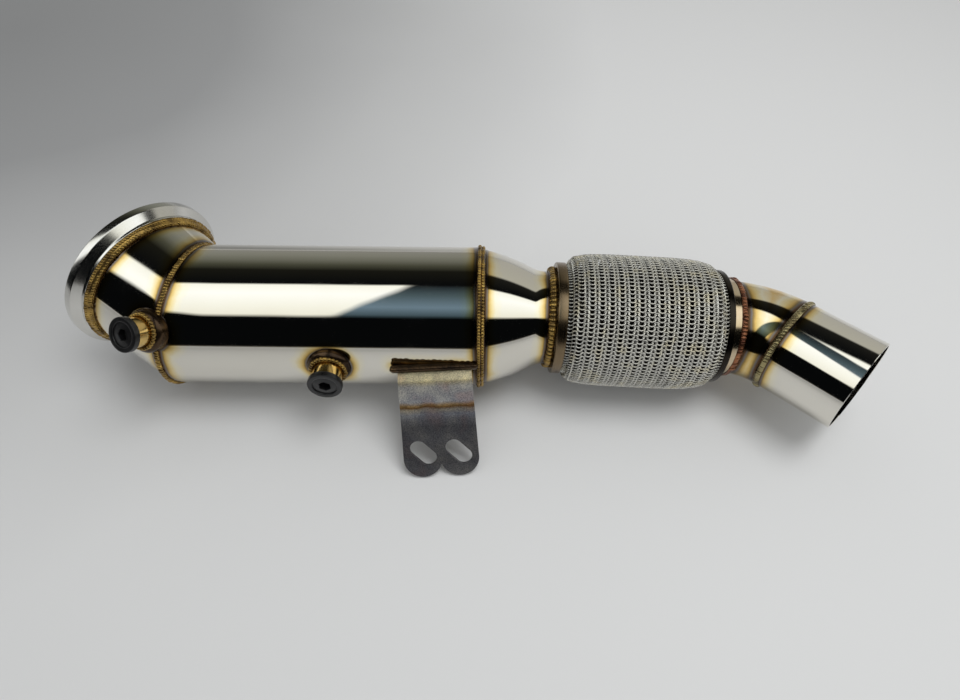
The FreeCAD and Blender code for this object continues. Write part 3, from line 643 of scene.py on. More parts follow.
@dataclass(frozen=True)
class MillSheet(Finish):
    """Hot rolled and pickled stainless sheet: a fine grey grain, one line of heat, and painted
    shade that darkens it down the plate towards its lobes.
    """

    down: Axis
    heat_line: float = 21.0
    wander: float = 4.0

    def surface(self, tree: Tree, spot: Socket) -> Node:
        """Build the bracket's sheet."""
        cloud = add(tree, "Math SUBTRACT", add(tree, "TexNoise", spot, per(12.0), 3.0), 0.5)
        wave = add(tree, "Math MULTIPLY_ADD", cloud, self.wander * MM,
                   self.down.along(tree, spot))
        share = add(tree, "Math DIVIDE", wave, 2 * self.heat_line * MM)
        # Down the plate: heat tint by the foot, one line of heat, then painted shade that darkens
        # the sheet towards its lobes.
        tint = add(tree, "ValToRGB", share, stops=(
            (0.00, "#E2D2A2"), (0.10, "#DAD5C6"), (0.38, "#CDCBC6"), (0.45, "#BF9C68"),
            (0.49, "#8A6434"), (0.54, "#B4A992"), (0.64, "#9C9D9E"),
            (0.76, "#82807E"), (0.9, "#6C6A68")))
        film = add(tree, "ValToRGB", add(tree, "TexNoise", spot, per(20.0), 2.0),
                   stops=((0.35, "#FFFFFF"), (0.55, "#C9CCDA"), (0.68, "#D8C6CE")))
        base = add(tree, "Mix", 0.8, tint, film, settings=MULTIPLIED)
        grain = add(tree, "TexNoise", spot, per(0.9), 3.0, 0.7)
        speckle = add(tree, "ValToRGB", grain,
                      stops=((0.38, "#A4A9B2"), (0.5, "#DADCE0"), (0.6, "#FFFFFF")))
        grey = add(tree, "Mix", 0.9, base, speckle, settings=MULTIPLIED)
        return self.grained(tree, grey, 0.5, grain, (0.24, 0.48), 0.06)


@dataclass(frozen=True)
class PaleFloor(Finish):
    """A matt laminate table top in a light grey, with painted shade that darkens it towards its far
    left corner.
    """

    corner: Triple = (-0.36, 0.50, -0.068)
    wander: float = 120.0

    def surface(self, tree: Tree, spot: Socket) -> Node:
        """Build the floor."""
        # Painted shade: the colour ramp darkens the floor with distance towards its far left
        # corner.
        cloud = add(tree, "Math SUBTRACT", add(tree, "TexNoise", spot, per(300.0), 2.0), 0.5)
        away = add(tree, "VectorMath DISTANCE", spot, self.corner)
        shade = add(tree, "Math MULTIPLY_ADD", cloud, self.wander * MM, away)
        tint = add(tree, "ValToRGB", shade, stops=(
            (0.00, "#939495"), (0.30, "#9B9C9D"), (0.54, "#BEBFBF"), (0.80, "#D4D5D5")))
        return add(tree, "BsdfPrincipled", Base_Color=tint, Roughness=0.55)


@dataclass(frozen=True)
class TentLight(Finish):
    """The studio tent: a white softbox overhead, black cloth on both sides of it.

    Angles are in degrees round the pipe, from straight up towards the camera. Places along X
    are in metres, apart from the softbox's first end and its slant, in millimetres.
    """

    centre: Vector
    box_back: float = -11.5
    box_front: float = 39.0
    back_edge: float = 1.5
    front_edge: float = 2.5
    box_end: float = 40.0
    box_slant: float = -4.3
    slant_from: float = -5.0
    end_edge: Pair = (-0.012, 0.03)
    second_box: float = 0.35
    second_edge: float = 0.05
    taper: float = 26.0
    taper_run: Pair = (-0.5, -1.0)
    side_run: Pair = (0.3, 0.75)
    strength: float = 1.42

    def surface(self, tree: Tree, spot: Socket) -> Node:
        """Build the tent's glow from the angle over the pipe."""
        parts = add(tree, "SeparateXYZ",
                    add(tree, "VectorMath SUBTRACT", spot, tuple(self.centre)))
        ahead = add(tree, "Math MULTIPLY", parts.outputs["Y"], -1.0)
        degrees = add(tree, "Math DEGREES", add(tree, "Math ARCTAN2", ahead, parts.outputs["Z"]))
        x = add(tree, "SeparateXYZ", spot).outputs["X"]
        from_back = add(tree, "MapRange", degrees, self.box_back - self.back_edge,
                        self.box_back + self.back_edge)
        front = add(tree, "Math MULTIPLY_ADD", add(tree, "MapRange", x, *self.taper_run),
                    -self.taper, self.box_front)
        to_front = add(tree, "MapRange", add(tree, "Math SUBTRACT", degrees, front),
                       self.front_edge, -self.front_edge)
        inside = add(tree, "Math MULTIPLY", from_back, to_front)
        both = add(tree, "Mix", inside, self.cloth(tree, x, degrees), self.box(tree, x, degrees),
                   settings=BLENDED)
        return add(tree, "Emission", Color=both, Strength=self.strength)

    def cloth(self, tree: Tree, x: Socket, degrees: Node) -> Node:
        """Colour the tent outside its softboxes, greyer low down at the pipe's left end.

        Args:
            tree: The material's tree.
            x: The place along X.
            degrees: The angle over the pipe.

        Returns:
            The colour's node.
        """
        over = add(tree, "MapRange", degrees, -100.0, 100.0)
        dark = ((0.42, "#0A0B0C"), (0.60, "#050607"), (0.94, "#060708"), (0.965, "#9A968C"))
        left = add(tree, "ValToRGB", over, stops=(
            (0.05, "#7C7C78"), (0.13, "#74756E"), (0.195, "#62635B"), (0.25, "#424339"),
            (0.31, "#161612"), *dark))
        right = add(tree, "ValToRGB", over, stops=(
            (0.05, "#9C9B96"), (0.29, "#A3A29A"), (0.31, "#1A1A18"), *dark))
        return add(tree, "Mix", add(tree, "MapRange", x, *self.side_run), left, right,
                   settings=BLENDED)

    def box(self, tree: Tree, x: Socket, degrees: Node) -> Node:
        """Colour the softboxes, with a dim gap between the slanted end and the second box.

        Args:
            tree: The material's tree.
            x: The place along X.
            degrees: The angle over the pipe.

        Returns:
            The colour's node.
        """
        across = add(tree, "MapRange", degrees, self.box_back, self.box_front)
        glow = add(tree, "ValToRGB", across, stops=(
            (0.0, "#F2F4EE"), (0.3, "#FBFEFF"), (0.7, "#F0F2EC"), (1.0, "#E6E6DC")))
        dim = add(tree, "ValToRGB", across, stops=(
            (0.0, "#14181B"), (0.35, "#46565E"), (0.7, "#64798A"), (1.0, "#33424A")))
        end = add(tree, "Math MULTIPLY_ADD", add(tree, "Math SUBTRACT", degrees, self.slant_from),
                  self.box_slant * MM, self.box_end * MM)
        past = add(tree, "MapRange", add(tree, "Math SUBTRACT", x, end), *self.end_edge)
        short = add(tree, "MapRange", x, self.second_box + self.second_edge, self.second_box)
        return add(tree, "Mix", add(tree, "Math MULTIPLY", past, short), glow, dim,
                   settings=BLENDED)


def dressed(piece: Piece, finish: Finish, slot: str, *nodes: str) -> None:
    """Give a new piece its finish, its body and the solids it stands for.

    Args:
        piece: The piece, in place.
        finish: The finish of its surface.
        slot: The record's material slot; not used.
        nodes: Solids that the piece replaces.
    """
    piece.data.materials.clear()
    piece.data.materials.append(finish.material())
    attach(piece, BODY)
    if nodes:
        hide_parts(*nodes)
    LOG.info("%s: %d faces", piece.name, len(piece.data.polygons))


def refinished(node: str, finish: Finish) -> None:
    """Give a solid that stays in view its finish."""
    for slot in frame["nodes"][node].material_slots:
        slot.material = finish.material()
    LOG.info("%s keeps its solid", node)


# Geometry node groups.


class Group:
    """A geometry node group with named inputs, which a piece evaluates once."""

    def __init__(self, name: str, sizes: Sequence[str], counts: Sequence[str]) -> None:
        """Start a group that takes a geometry, sizes, counts and a material.

        Args:
            name: The group's name.
            sizes: Names of its inputs that are lengths, shares or angles.
            counts: Names of its inputs that are whole numbers.
        """
        self.tree = bpy.data.node_groups.new(name, "GeometryNodeTree")
        face = self.tree.interface
        face.new_socket("Geometry", in_out="OUTPUT", socket_type="NodeSocketGeometry")
        kinds = [("Geometry", "Geometry"), *((size, "Float") for size in sizes),
                 *((count, "Int") for count in counts), ("Material", "Material")]
        for label, kind in kinds:
            face.new_socket(label, in_out="INPUT", socket_type=f"NodeSocket{kind}")
        self.source = self.tree.nodes.new("NodeGroupInput")
        self.sink = self.tree.nodes.new("NodeGroupOutput")

    def finish(self, geometry: Node) -> None:
        """End the group in realized, coloured geometry."""
        real = add(self.tree, "RealizeInstances", geometry)
        painted = add(self.tree, "SetMaterial", Geometry=real,
                      Material=self.source.outputs["Material"])
        self.tree.links.new(painted.outputs[0], self.sink.inputs[0])

    def run(self, base: Piece, place: Matrix | None = None, **values: Any) -> Piece:
        """Evaluate the group on a piece with the given inputs.

        Args:
            base: The piece that holds the path, which is used up and gives its name.
            place: A placement for the result.
            values: Inputs by name, with spaces as underscores.

        Returns:
            The plain piece.
        """
        name = base.name
        live = base.modifiers.new(self.tree.name, "NODES")
        live.node_group = self.tree
        sockets = {item.name: item.identifier for item in self.tree.interface.items_tree
                   if item.in_out == "INPUT"}
        for key, value in values.items():
            live[sockets[key.replace("_", " ")]] = value
        return evaluated(base, name, place)


def ripple_group() -> Group:
    """Overlapping scales of weld metal along a path with an outward direction."""
    group = Group("weld_ripples", ("Pitch", "Length", "Width", "Rise", "Lean"), ("Seed",))
    tree, given = group.tree, group.source.outputs
    even = add(tree, "ResampleCurve", settings={"mode": "LENGTH"}, Length=given["Pitch"],
               Curve=add(tree, "MeshToCurve", Mesh=given["Geometry"]))
    outward = add(tree, "InputNamedAttribute", settings={"data_type": "FLOAT_VECTOR"},
                  Name="outward")
    up = add(tree, "AlignRotationToVector", settings={"axis": "Z"}, Vector=outward)
    along = add(tree, "AlignRotationToVector", settings={"axis": "X", "pivot_axis": "Z"},
                Rotation=up, Vector=add(tree, "InputTangent"))
    tipped = add(tree, "EulerToRotation", add(tree, "CombineXYZ", Y=given["Lean"]))
    facing = add(tree, "RotateRotation", settings={"rotation_space": "LOCAL"},
                 Rotation=along, Rotate_By=tipped)
    jitter = add(tree, "RandomValue", 0.86, 1.14, Seed=given["Seed"])
    scale = add(tree, "CombineXYZ", given["Length"], given["Width"],
                add(tree, "Math MULTIPLY", given["Rise"], jitter))
    ball = add(tree, "MeshIcoSphere", Radius=0.5, Subdivisions=2)
    placed = add(tree, "InstanceOnPoints", Points=even, Instance=add(tree, "SetShadeSmooth", ball),
                 Rotation=facing, Scale=add(tree, "VectorMath SCALE", scale, jitter))
    own = add(tree, "RandomValue", Seed=add(tree, "Math ADD", given["Seed"], 7.0))
    group.finish(add(tree, "StoreNamedAttribute", Geometry=placed, Name="heat", Value=own,
                     settings={"data_type": "FLOAT", "domain": "INSTANCE"}))
    return group


def knit_group(knots: Sequence[Pair]) -> Group:
    """Courses of knitted wire along a swelling sleeve, each a chain of loops.

    Args:
        knots: The sleeve's outline, places and heights from nought to one.

    Returns:
        The group, which needs no path.
    """
    group = Group("knitted_sleeve", (
        "Start", "Length", "Hem Radius", "Swell", "Loop Reach", "Loop Bulge", "Loop Shift",
        "Depth", "Wire Radius"), ("Courses", "Wales", "Steps"))
    tree, given = group.tree, group.source.outputs
    points = add(tree, "Math MULTIPLY", given["Wales"], given["Steps"])
    line = add(tree, "MeshLine", settings={"mode": "END_POINTS"}, Offset=(1.0, 0.0, 0.0),
               Count=add(tree, "Math ADD", points, 1.0))
    many = add(tree, "DuplicateElements", settings={"domain": "SPLINE"},
               Geometry=add(tree, "MeshToCurve", Mesh=line), Amount=given["Courses"])
    share = add(tree, "SeparateXYZ", add(tree, "InputPosition")).outputs["X"]
    phase = add(tree, "Math MULTIPLY", add(tree, "Math MULTIPLY", share, given["Wales"]),
                math.tau)
    twice = add(tree, "Math MULTIPLY", phase, 2.0)
    profile = add(tree, "FloatCurve", Value=share)
    curve = profile.mapping.curves[0]
    for index, (place, height) in enumerate(knots):
        if index < 2:
            curve.points[index].location = (place, height)
        else:
            curve.points.new(place, height)
    profile.mapping.update()
    radius = add(tree, "Math MULTIPLY_ADD", profile, given["Swell"], given["Hem Radius"])
    lifted = add(tree, "Math MULTIPLY_ADD", add(tree, "Math COSINE", twice), given["Depth"],
                 radius)
    wavy = add(tree, "Math MULTIPLY_ADD", add(tree, "Math SINE", twice), given["Loop Bulge"],
               given["Start"])
    leaning = add(tree, "Math MULTIPLY_ADD", add(tree, "Math SINE", phase), given["Loop Shift"],
                  wavy)
    along = add(tree, "Math MULTIPLY_ADD", share, given["Length"], leaning)
    course = add(tree, "Math MULTIPLY_ADD", add(tree, "Math COSINE", phase), given["Loop Reach"],
                 many.outputs["Duplicate Index"])
    angle = add(tree, "Math MULTIPLY", add(tree, "Math DIVIDE", course, given["Courses"]),
                math.tau)
    spot = add(tree, "CombineXYZ", along,
               add(tree, "Math MULTIPLY", add(tree, "Math SINE", angle), lifted),
               add(tree, "Math MULTIPLY", add(tree, "Math COSINE", angle), lifted))
    ring = add(tree, "CurvePrimitiveCircle", settings={"mode": "RADIUS"}, Resolution=4,
               Radius=given["Wire Radius"])
    swept = add(tree, "CurveToMesh", Profile_Curve=ring,
                Curve=add(tree, "SetPosition", Geometry=many, Position=spot))
    group.finish(add(tree, "SetShadeSmooth", swept))
    return group


# Sub-assemblies. Sizes are in millimetres and degrees.


@dataclass
class TurboFlange:
    """The clamp flange: rim, clamping cone and boss, turned from thick plate."""

    start: float = 49.5
    cone: float = 51.5
    rim: float = 56.8
    face: float = 62.8
    socket: float = 52.5
    outside: float = 68.1
    boss: float = 62.3
    stub: float = 57.8
    wall: float = 1.5
    slip: float = 0.1
    edge: float = 0.5

    def build(self) -> None:
        """Turn the flange and dress it."""
        bore, seat = self.stub - self.wall, self.stub + self.slip
        outline = filleted([
            (self.start, seat), (self.start, self.boss), (self.cone, self.boss),
            (self.rim, self.outside), (self.face, self.outside), (self.face, bore),
            (self.socket, bore), (self.socket, seat)], self.edge)
        finish = TurnedSteel("turned_flange_steel", Axis.of(ROUTE.inlet), "#E0DFDB", "#D2CFC8",
                             0.16)
        dressed(turned("turbo_flange_turned", outline, ROUTE.inlet), finish, "flange_steel",
                "turbo_flange")


@dataclass
class Tubes:
    """The polished tubes: inlet stub, barrel, reducer, elbow and outlet."""

    wall: float = 1.5
    flange_seam: float = 47.0
    stub_radius: float = 57.8
    stub_round: float = 44.6
    stub_end: float = 52.4
    barrel_radius: float = 57.15
    barrel_spots: Triple = (40.0, 120.0, 200.0)
    tube_radius: float = 38.1
    slip: float = 0.35
    lap: float = 6.0
    cone_start: float = 241.8
    cone_end: float = 285.8
    cone_sweep: float = 170.0
    neck_end: float = 300.4
    neck_points: int = 3
    neck_steps: int = 8
    joint_gap: float = 0.1
    bend_steps: int = 28
    edge: float = 0.3
    wide_toe: float = 3.0

    def mitre_ring(self, inset: float) -> Ring:
        """The barrel's slanted section at the mitre joint.

        Args:
            inset: How far inside the barrel's outside it runs.

        Returns:
            The barrel's round section, slid along the barrel on to the joint's plane.
        """
        plane, along = Axis.of(ROUTE.joint), Axis.of(ROUTE.barrel).way
        slope = along.dot(plane.way)
        return [point + along * ((plane.point - point).dot(plane.way) / slope)
                for point in circle(ROUTE.barrel, self.barrel_radius - inset)]

    def shell(self, name: str, sections: Callable[[float], list[Ring]]) -> Piece:
        """Skin a tube from its outside rings and its inside rings."""
        return skinned(name, sections(0.0) + sections(self.wall)[::-1])

    def stub_rings(self, inset: float) -> list[Ring]:
        """Rings of the inlet stub from the mitre joint into the flange.

        Args:
            inset: How far inside the stub's outside they run.

        Returns:
            The rings in order.
        """
        rings = [self.mitre_ring(inset)]
        axis = Axis.of(ROUTE.inlet)
        for reach in (self.stub_round, self.stub_end):
            centre = axis.point + axis.way * reach * MM
            arms = [point - axis.point for point in rings[0]]
            arms = [arm - axis.way * arm.dot(axis.way) for arm in arms]
            rings.append([centre + arm.normalized() * (self.stub_radius - inset) * MM
                          for arm in arms])
        return rings

    def barrel_rings(self, inset: float) -> list[Ring]:
        """Rings of the barrel from the mitre joint to its open edge."""
        return [self.mitre_ring(inset)] + [
            circle(ROUTE.barrel @ shifted(spot), self.barrel_radius - inset)
            for spot in (*self.barrel_spots, ROUTE.barrel_length)]

    def elbow_rings(self, inset: float) -> list[Ring]:
        """Rings of the elbow from its slanted joint through its bend."""
        places = [ROUTE.rear_joint @ shifted(self.joint_gap)]
        places += [ROUTE.bend(ROUTE.elbow_bend * step / self.bend_steps)
                   for step in range(1, self.bend_steps + 1)]
        return [circle(place, self.tube_radius - inset) for place in places]

    def outlet_rings(self, inset: float) -> list[Ring]:
        """Rings of the outlet tube, its open edge a little rounded.

        Args:
            inset: How far inside the tube's outside they run.

        Returns:
            The rings in order.
        """
        end, radius = ROUTE.outlet_length, self.tube_radius - inset
        edge = self.edge if inset == 0.0 else -self.edge
        places = ((0.0, radius), (end - self.edge, radius), (end, radius - edge))
        return [circle(ROUTE.outlet @ shifted(spot), reach) for spot, reach in places]

    def reducer_outline(self) -> list[Pair]:
        """The spun cone's section, from its lap in the barrel to its neck.

        Returns:
            A closed outline of places along the barrel and radii.
        """
        big = self.barrel_radius - self.wall - self.slip
        small, wall = self.tube_radius, self.wall
        lap = ROUTE.barrel_length - self.lap
        outer = [(lap, big), (self.cone_start, big)]
        outer += arc(outer[-1], (self.cone_end, small), self.cone_sweep, 1)[:-self.neck_points]
        start, level = outer[-1]
        for step in range(1, self.neck_steps + 1):
            part = step / self.neck_steps
            outer.append((start + 2 * (self.cone_end - start) * part,
                          small + (level - small) * (1 - part) ** 2))
        outer += [(self.neck_end, small), (self.neck_end, small - wall)]
        back = (self.cone_end - wall / 4, small - wall)
        inner = [back] + arc(back, (self.cone_start - wall / 4, big - wall),
                             self.cone_sweep - wall, -1)
        return outer + inner + [(lap, big - wall)]

    def build(self, bungs: Sequence["SensorBung"], bracket: "Bracket") -> None:
        """Skin and dress every tube.

        Args:
            bungs: The front and the rear bung, whose welds tint the tubes.
            bracket: The bracket, whose weld tints the barrel.
        """
        front, rear = (bung.heat() for bung in bungs)
        mitre = HeatLine(Axis.of(ROUTE.joint))
        flange = HeatLine(Axis.of(ROUTE.inlet @ shifted(self.flange_seam)))
        edge = HeatLine(Axis.of(ROUTE.barrel_edge), self.wide_toe)
        neck = HeatLine(Axis.of(ROUTE.flex), self.wide_toe)
        entry = HeatLine(Axis.of(ROUTE.rear_joint))
        outlet = HeatLine(Axis.of(ROUTE.outlet))
        tubes = (
            (self.shell("inlet_stub_tube", self.stub_rings), "inlet_stub",
             PolishedSteel("polished_inlet", (flange, mitre, front), 14.0)),
            (self.shell("barrel_tube", self.barrel_rings), "barrel",
             PolishedSteel("polished_barrel", (mitre, edge, front, rear, bracket.heat()), 14.0)),
            (turned("reducer_cone", self.reducer_outline(), ROUTE.barrel), "reducer",
             PolishedSteel("polished_cone", (edge, neck), 13.0)),
            (self.shell("elbow_tube", self.elbow_rings), "elbow",
             PolishedSteel("polished_elbow", (entry, outlet), 22.0, "#DDBD7E")),
            (self.shell("outlet_tube_polished", self.outlet_rings), "outlet_tube",
             PolishedSteel("polished_outlet", (outlet,), 13.0)))
        for tube, node, finish in tubes:
            dressed(tube, finish, "polished_steel", node)


@dataclass
class FlexSection:
    """The flex section: knitted sleeve, two pressed caps and two collars."""

    courses: int = 98
    wales: int = 17
    steps: int = 12
    wire: float = 0.66
    loop_reach: float = 0.98
    loop_bulge: float = 1.35
    loop_shift: float = -0.6
    depth: float = 0.3
    sleeve: Pair = (9.0, 135.5)
    hem: float = 44.2
    full: float = 54.3
    knots: tuple[Pair, ...] = (
        (0.0, 0.0), (0.018, 0.02), (0.055, 0.50), (0.10, 0.79), (0.18, 0.94), (0.30, 1.0),
        (0.62, 1.0), (0.78, 0.95), (0.88, 0.80), (0.945, 0.45), (0.982, 0.12), (1.0, 0.08))
    collar: float = 39.95
    wall: float = 1.5
    collar_edge: float = 0.3
    front_collar: Pair = (0.0, 18.0)
    rear_collar: Pair = (130.6, 148.0)
    cap_wall: float = 1.2
    cap_slip: float = 0.1
    cap_round: float = 1.4
    front_cap: Triple = (3.2, 11.0, 46.0)
    rear_cap: Triple = (138.2, 133.2, 46.4)

    def turned_ring(self, node: str, suffix: str, outline: Sequence[Pair],
                    colours: tuple[str, str], gloss: float) -> None:
        """Turn a ring of the flex section and dress it.

        Args:
            node: The solid that it replaces.
            suffix: How it is made, the end of its name.
            outline: Its section.
            colours: Its steel and its stain.
            gloss: Its roughness.
        """
        name = f"{node}_{suffix}"
        finish = TurnedSteel(f"{name}_steel", Axis.of(ROUTE.flex), *colours, gloss)
        dressed(turned(name, outline, ROUTE.flex), finish, "flex_steel", node)

    def cap(self, node: str, sizes: Triple, *colours: str) -> None:
        """Turn a cap that is closed at its edge and open over its skirt.

        Args:
            node: The solid that it replaces.
            sizes: Places of its edge and its skirt's end, and its radius.
            colours: Its steel and its stain.
        """
        edge, skirt, radius = sizes
        thick = self.cap_wall
        inside = edge + thick * (1 if skirt > edge else -1)
        seat = self.collar + self.cap_slip
        outline = filleted([
            (edge, seat), (edge, radius), (skirt, radius), (skirt, radius - thick),
            (inside, radius - thick), (inside, seat)], self.cap_round)
        self.turned_ring(node, "pressed", outline, colours, 0.24)

    def build(self) -> None:
        """Knit the sleeve and turn its rings."""
        start, end = self.sleeve
        wire = DrawnWire("drawn_wire")
        base = linked("knitted_sleeve", bpy.data.meshes.new("knit_base"))
        knit = knit_group(self.knots).run(
            base, ROUTE.flex, Courses=self.courses, Wales=self.wales, Steps=self.steps,
            Start=start * MM, Length=(end - start) * MM,
            Hem_Radius=self.hem * MM - self.wire * MM, Swell=(self.full - self.hem) * MM,
            Loop_Reach=self.loop_reach, Loop_Bulge=self.loop_bulge * MM,
            Loop_Shift=self.loop_shift * MM, Depth=self.depth * MM,
            Wire_Radius=self.wire * MM, Material=wire.material())
        dressed(knit, wire, "braid_wire", "braid_sleeve")
        self.cap("front_cap", self.front_cap, "#8E7D64", "#5C4A34")
        self.cap("rear_cap", self.rear_cap, "#37322C", "#1D1A17")
        inside, outside = self.collar - self.wall, self.collar
        for node, (near, far) in (("front_collar", self.front_collar),
                                  ("rear_collar", self.rear_collar)):
            outline = filleted([(near, inside), (near, outside), (far, outside), (far, inside)],
                               self.collar_edge)
            self.turned_ring(node, "turned", outline, ("#D8CDB8", "#B8945E"), 0.14)
        refinished("bellows", DullSteel("dull_bellows"))
        refinished("flex_liner", DullSteel("dull_liner", "#7B7468"))


@dataclass
class SensorBung:
    """A threaded boss with a black blanking plug."""

    name: str
    place: Matrix
    radius: float = 11.4
    bore: float = 9.0
    foot: float = 54.15
    face: float = 72.55
    edge: float = 0.5
    weld_toe: float = 4.1
    head_radius: float = 13.2
    head: float = 4.6
    head_round: float = 0.7
    rim: float = 3.2
    dish: float = 0.35
    dish_step: float = 0.6
    shank: float = 11.0
    thread_slip: float = 0.1
    chamfer: float = 0.8
    flats: float = 8.0
    lead: float = 0.5
    socket: float = 6.0
    drill_depth: float = 0.8
    drill_step: float = 3.0
    sides: int = 96

    def heat(self) -> HeatSpot:
        """The tint round the bung's weld."""
        return HeatSpot(Axis.of(self.place), self.radius + self.weld_toe)

    def hexagon(self, along: float, grow: float) -> Ring:
        """A ring that follows the socket's hexagon.

        Args:
            along: Its place on the bung's axis.
            grow: How far it stands out from the flats.

        Returns:
            As many points as the plug's round rings have.
        """
        ring = []
        for step in range(self.sides):
            angle = math.tau * step / self.sides
            turn = angle % (math.pi / 3) - math.pi / 6
            reach = self.flats / 2 / math.cos(turn) + grow
            ring.append(self.place @ shifted(along, math.sin(angle) * reach,
                                             math.cos(angle) * reach).translation)
        return ring

    def plug(self) -> Piece:
        """Turn the plug and sink its hexagon socket.

        Returns:
            The plug in one skin, its shank's end and its socket's floor filled.
        """
        top, tip = self.face + self.head, self.face - self.shank
        floor, brow = top - self.dish, self.head_radius - self.rim
        fit, deep = self.bore - self.thread_slip, top - self.socket
        head = filleted([(self.face, fit), (self.face, self.head_radius),
                         (top, self.head_radius), (top, brow), (floor, brow - self.dish_step)],
                        self.head_round)
        outline = [(tip, fit - self.chamfer), (tip + self.chamfer, fit)] + head[1:]
        rings = [circle(self.place @ shifted(along), radius, self.sides)
                 for along, radius in outline]
        rings += [self.hexagon(floor, self.lead), self.hexagon(floor - self.lead, 0.0),
                  self.hexagon(deep, 0.0), self.hexagon(deep - self.drill_depth, -self.drill_step)]
        return skinned(f"{self.name}_plug_head", rings, closed=False)

    def build(self) -> None:
        """Turn the boss and its plug."""
        outline = filleted([(self.foot, self.bore), (self.foot, self.radius),
                            (self.face, self.radius), (self.face, self.bore)], self.edge)
        boss = turned(f"{self.name}_bung_turned", outline, self.place, self.sides)
        finish = TurnedSteel(f"{self.name}_bung_steel", Axis.of(self.place), "#EFD08A", "#B58A44",
                             0.16)
        dressed(boss, finish, "bung_steel", f"{self.name}_bung")
        dressed(self.plug(), BlackOxide("black_oxide"), "black_plug", f"{self.name}_plug")


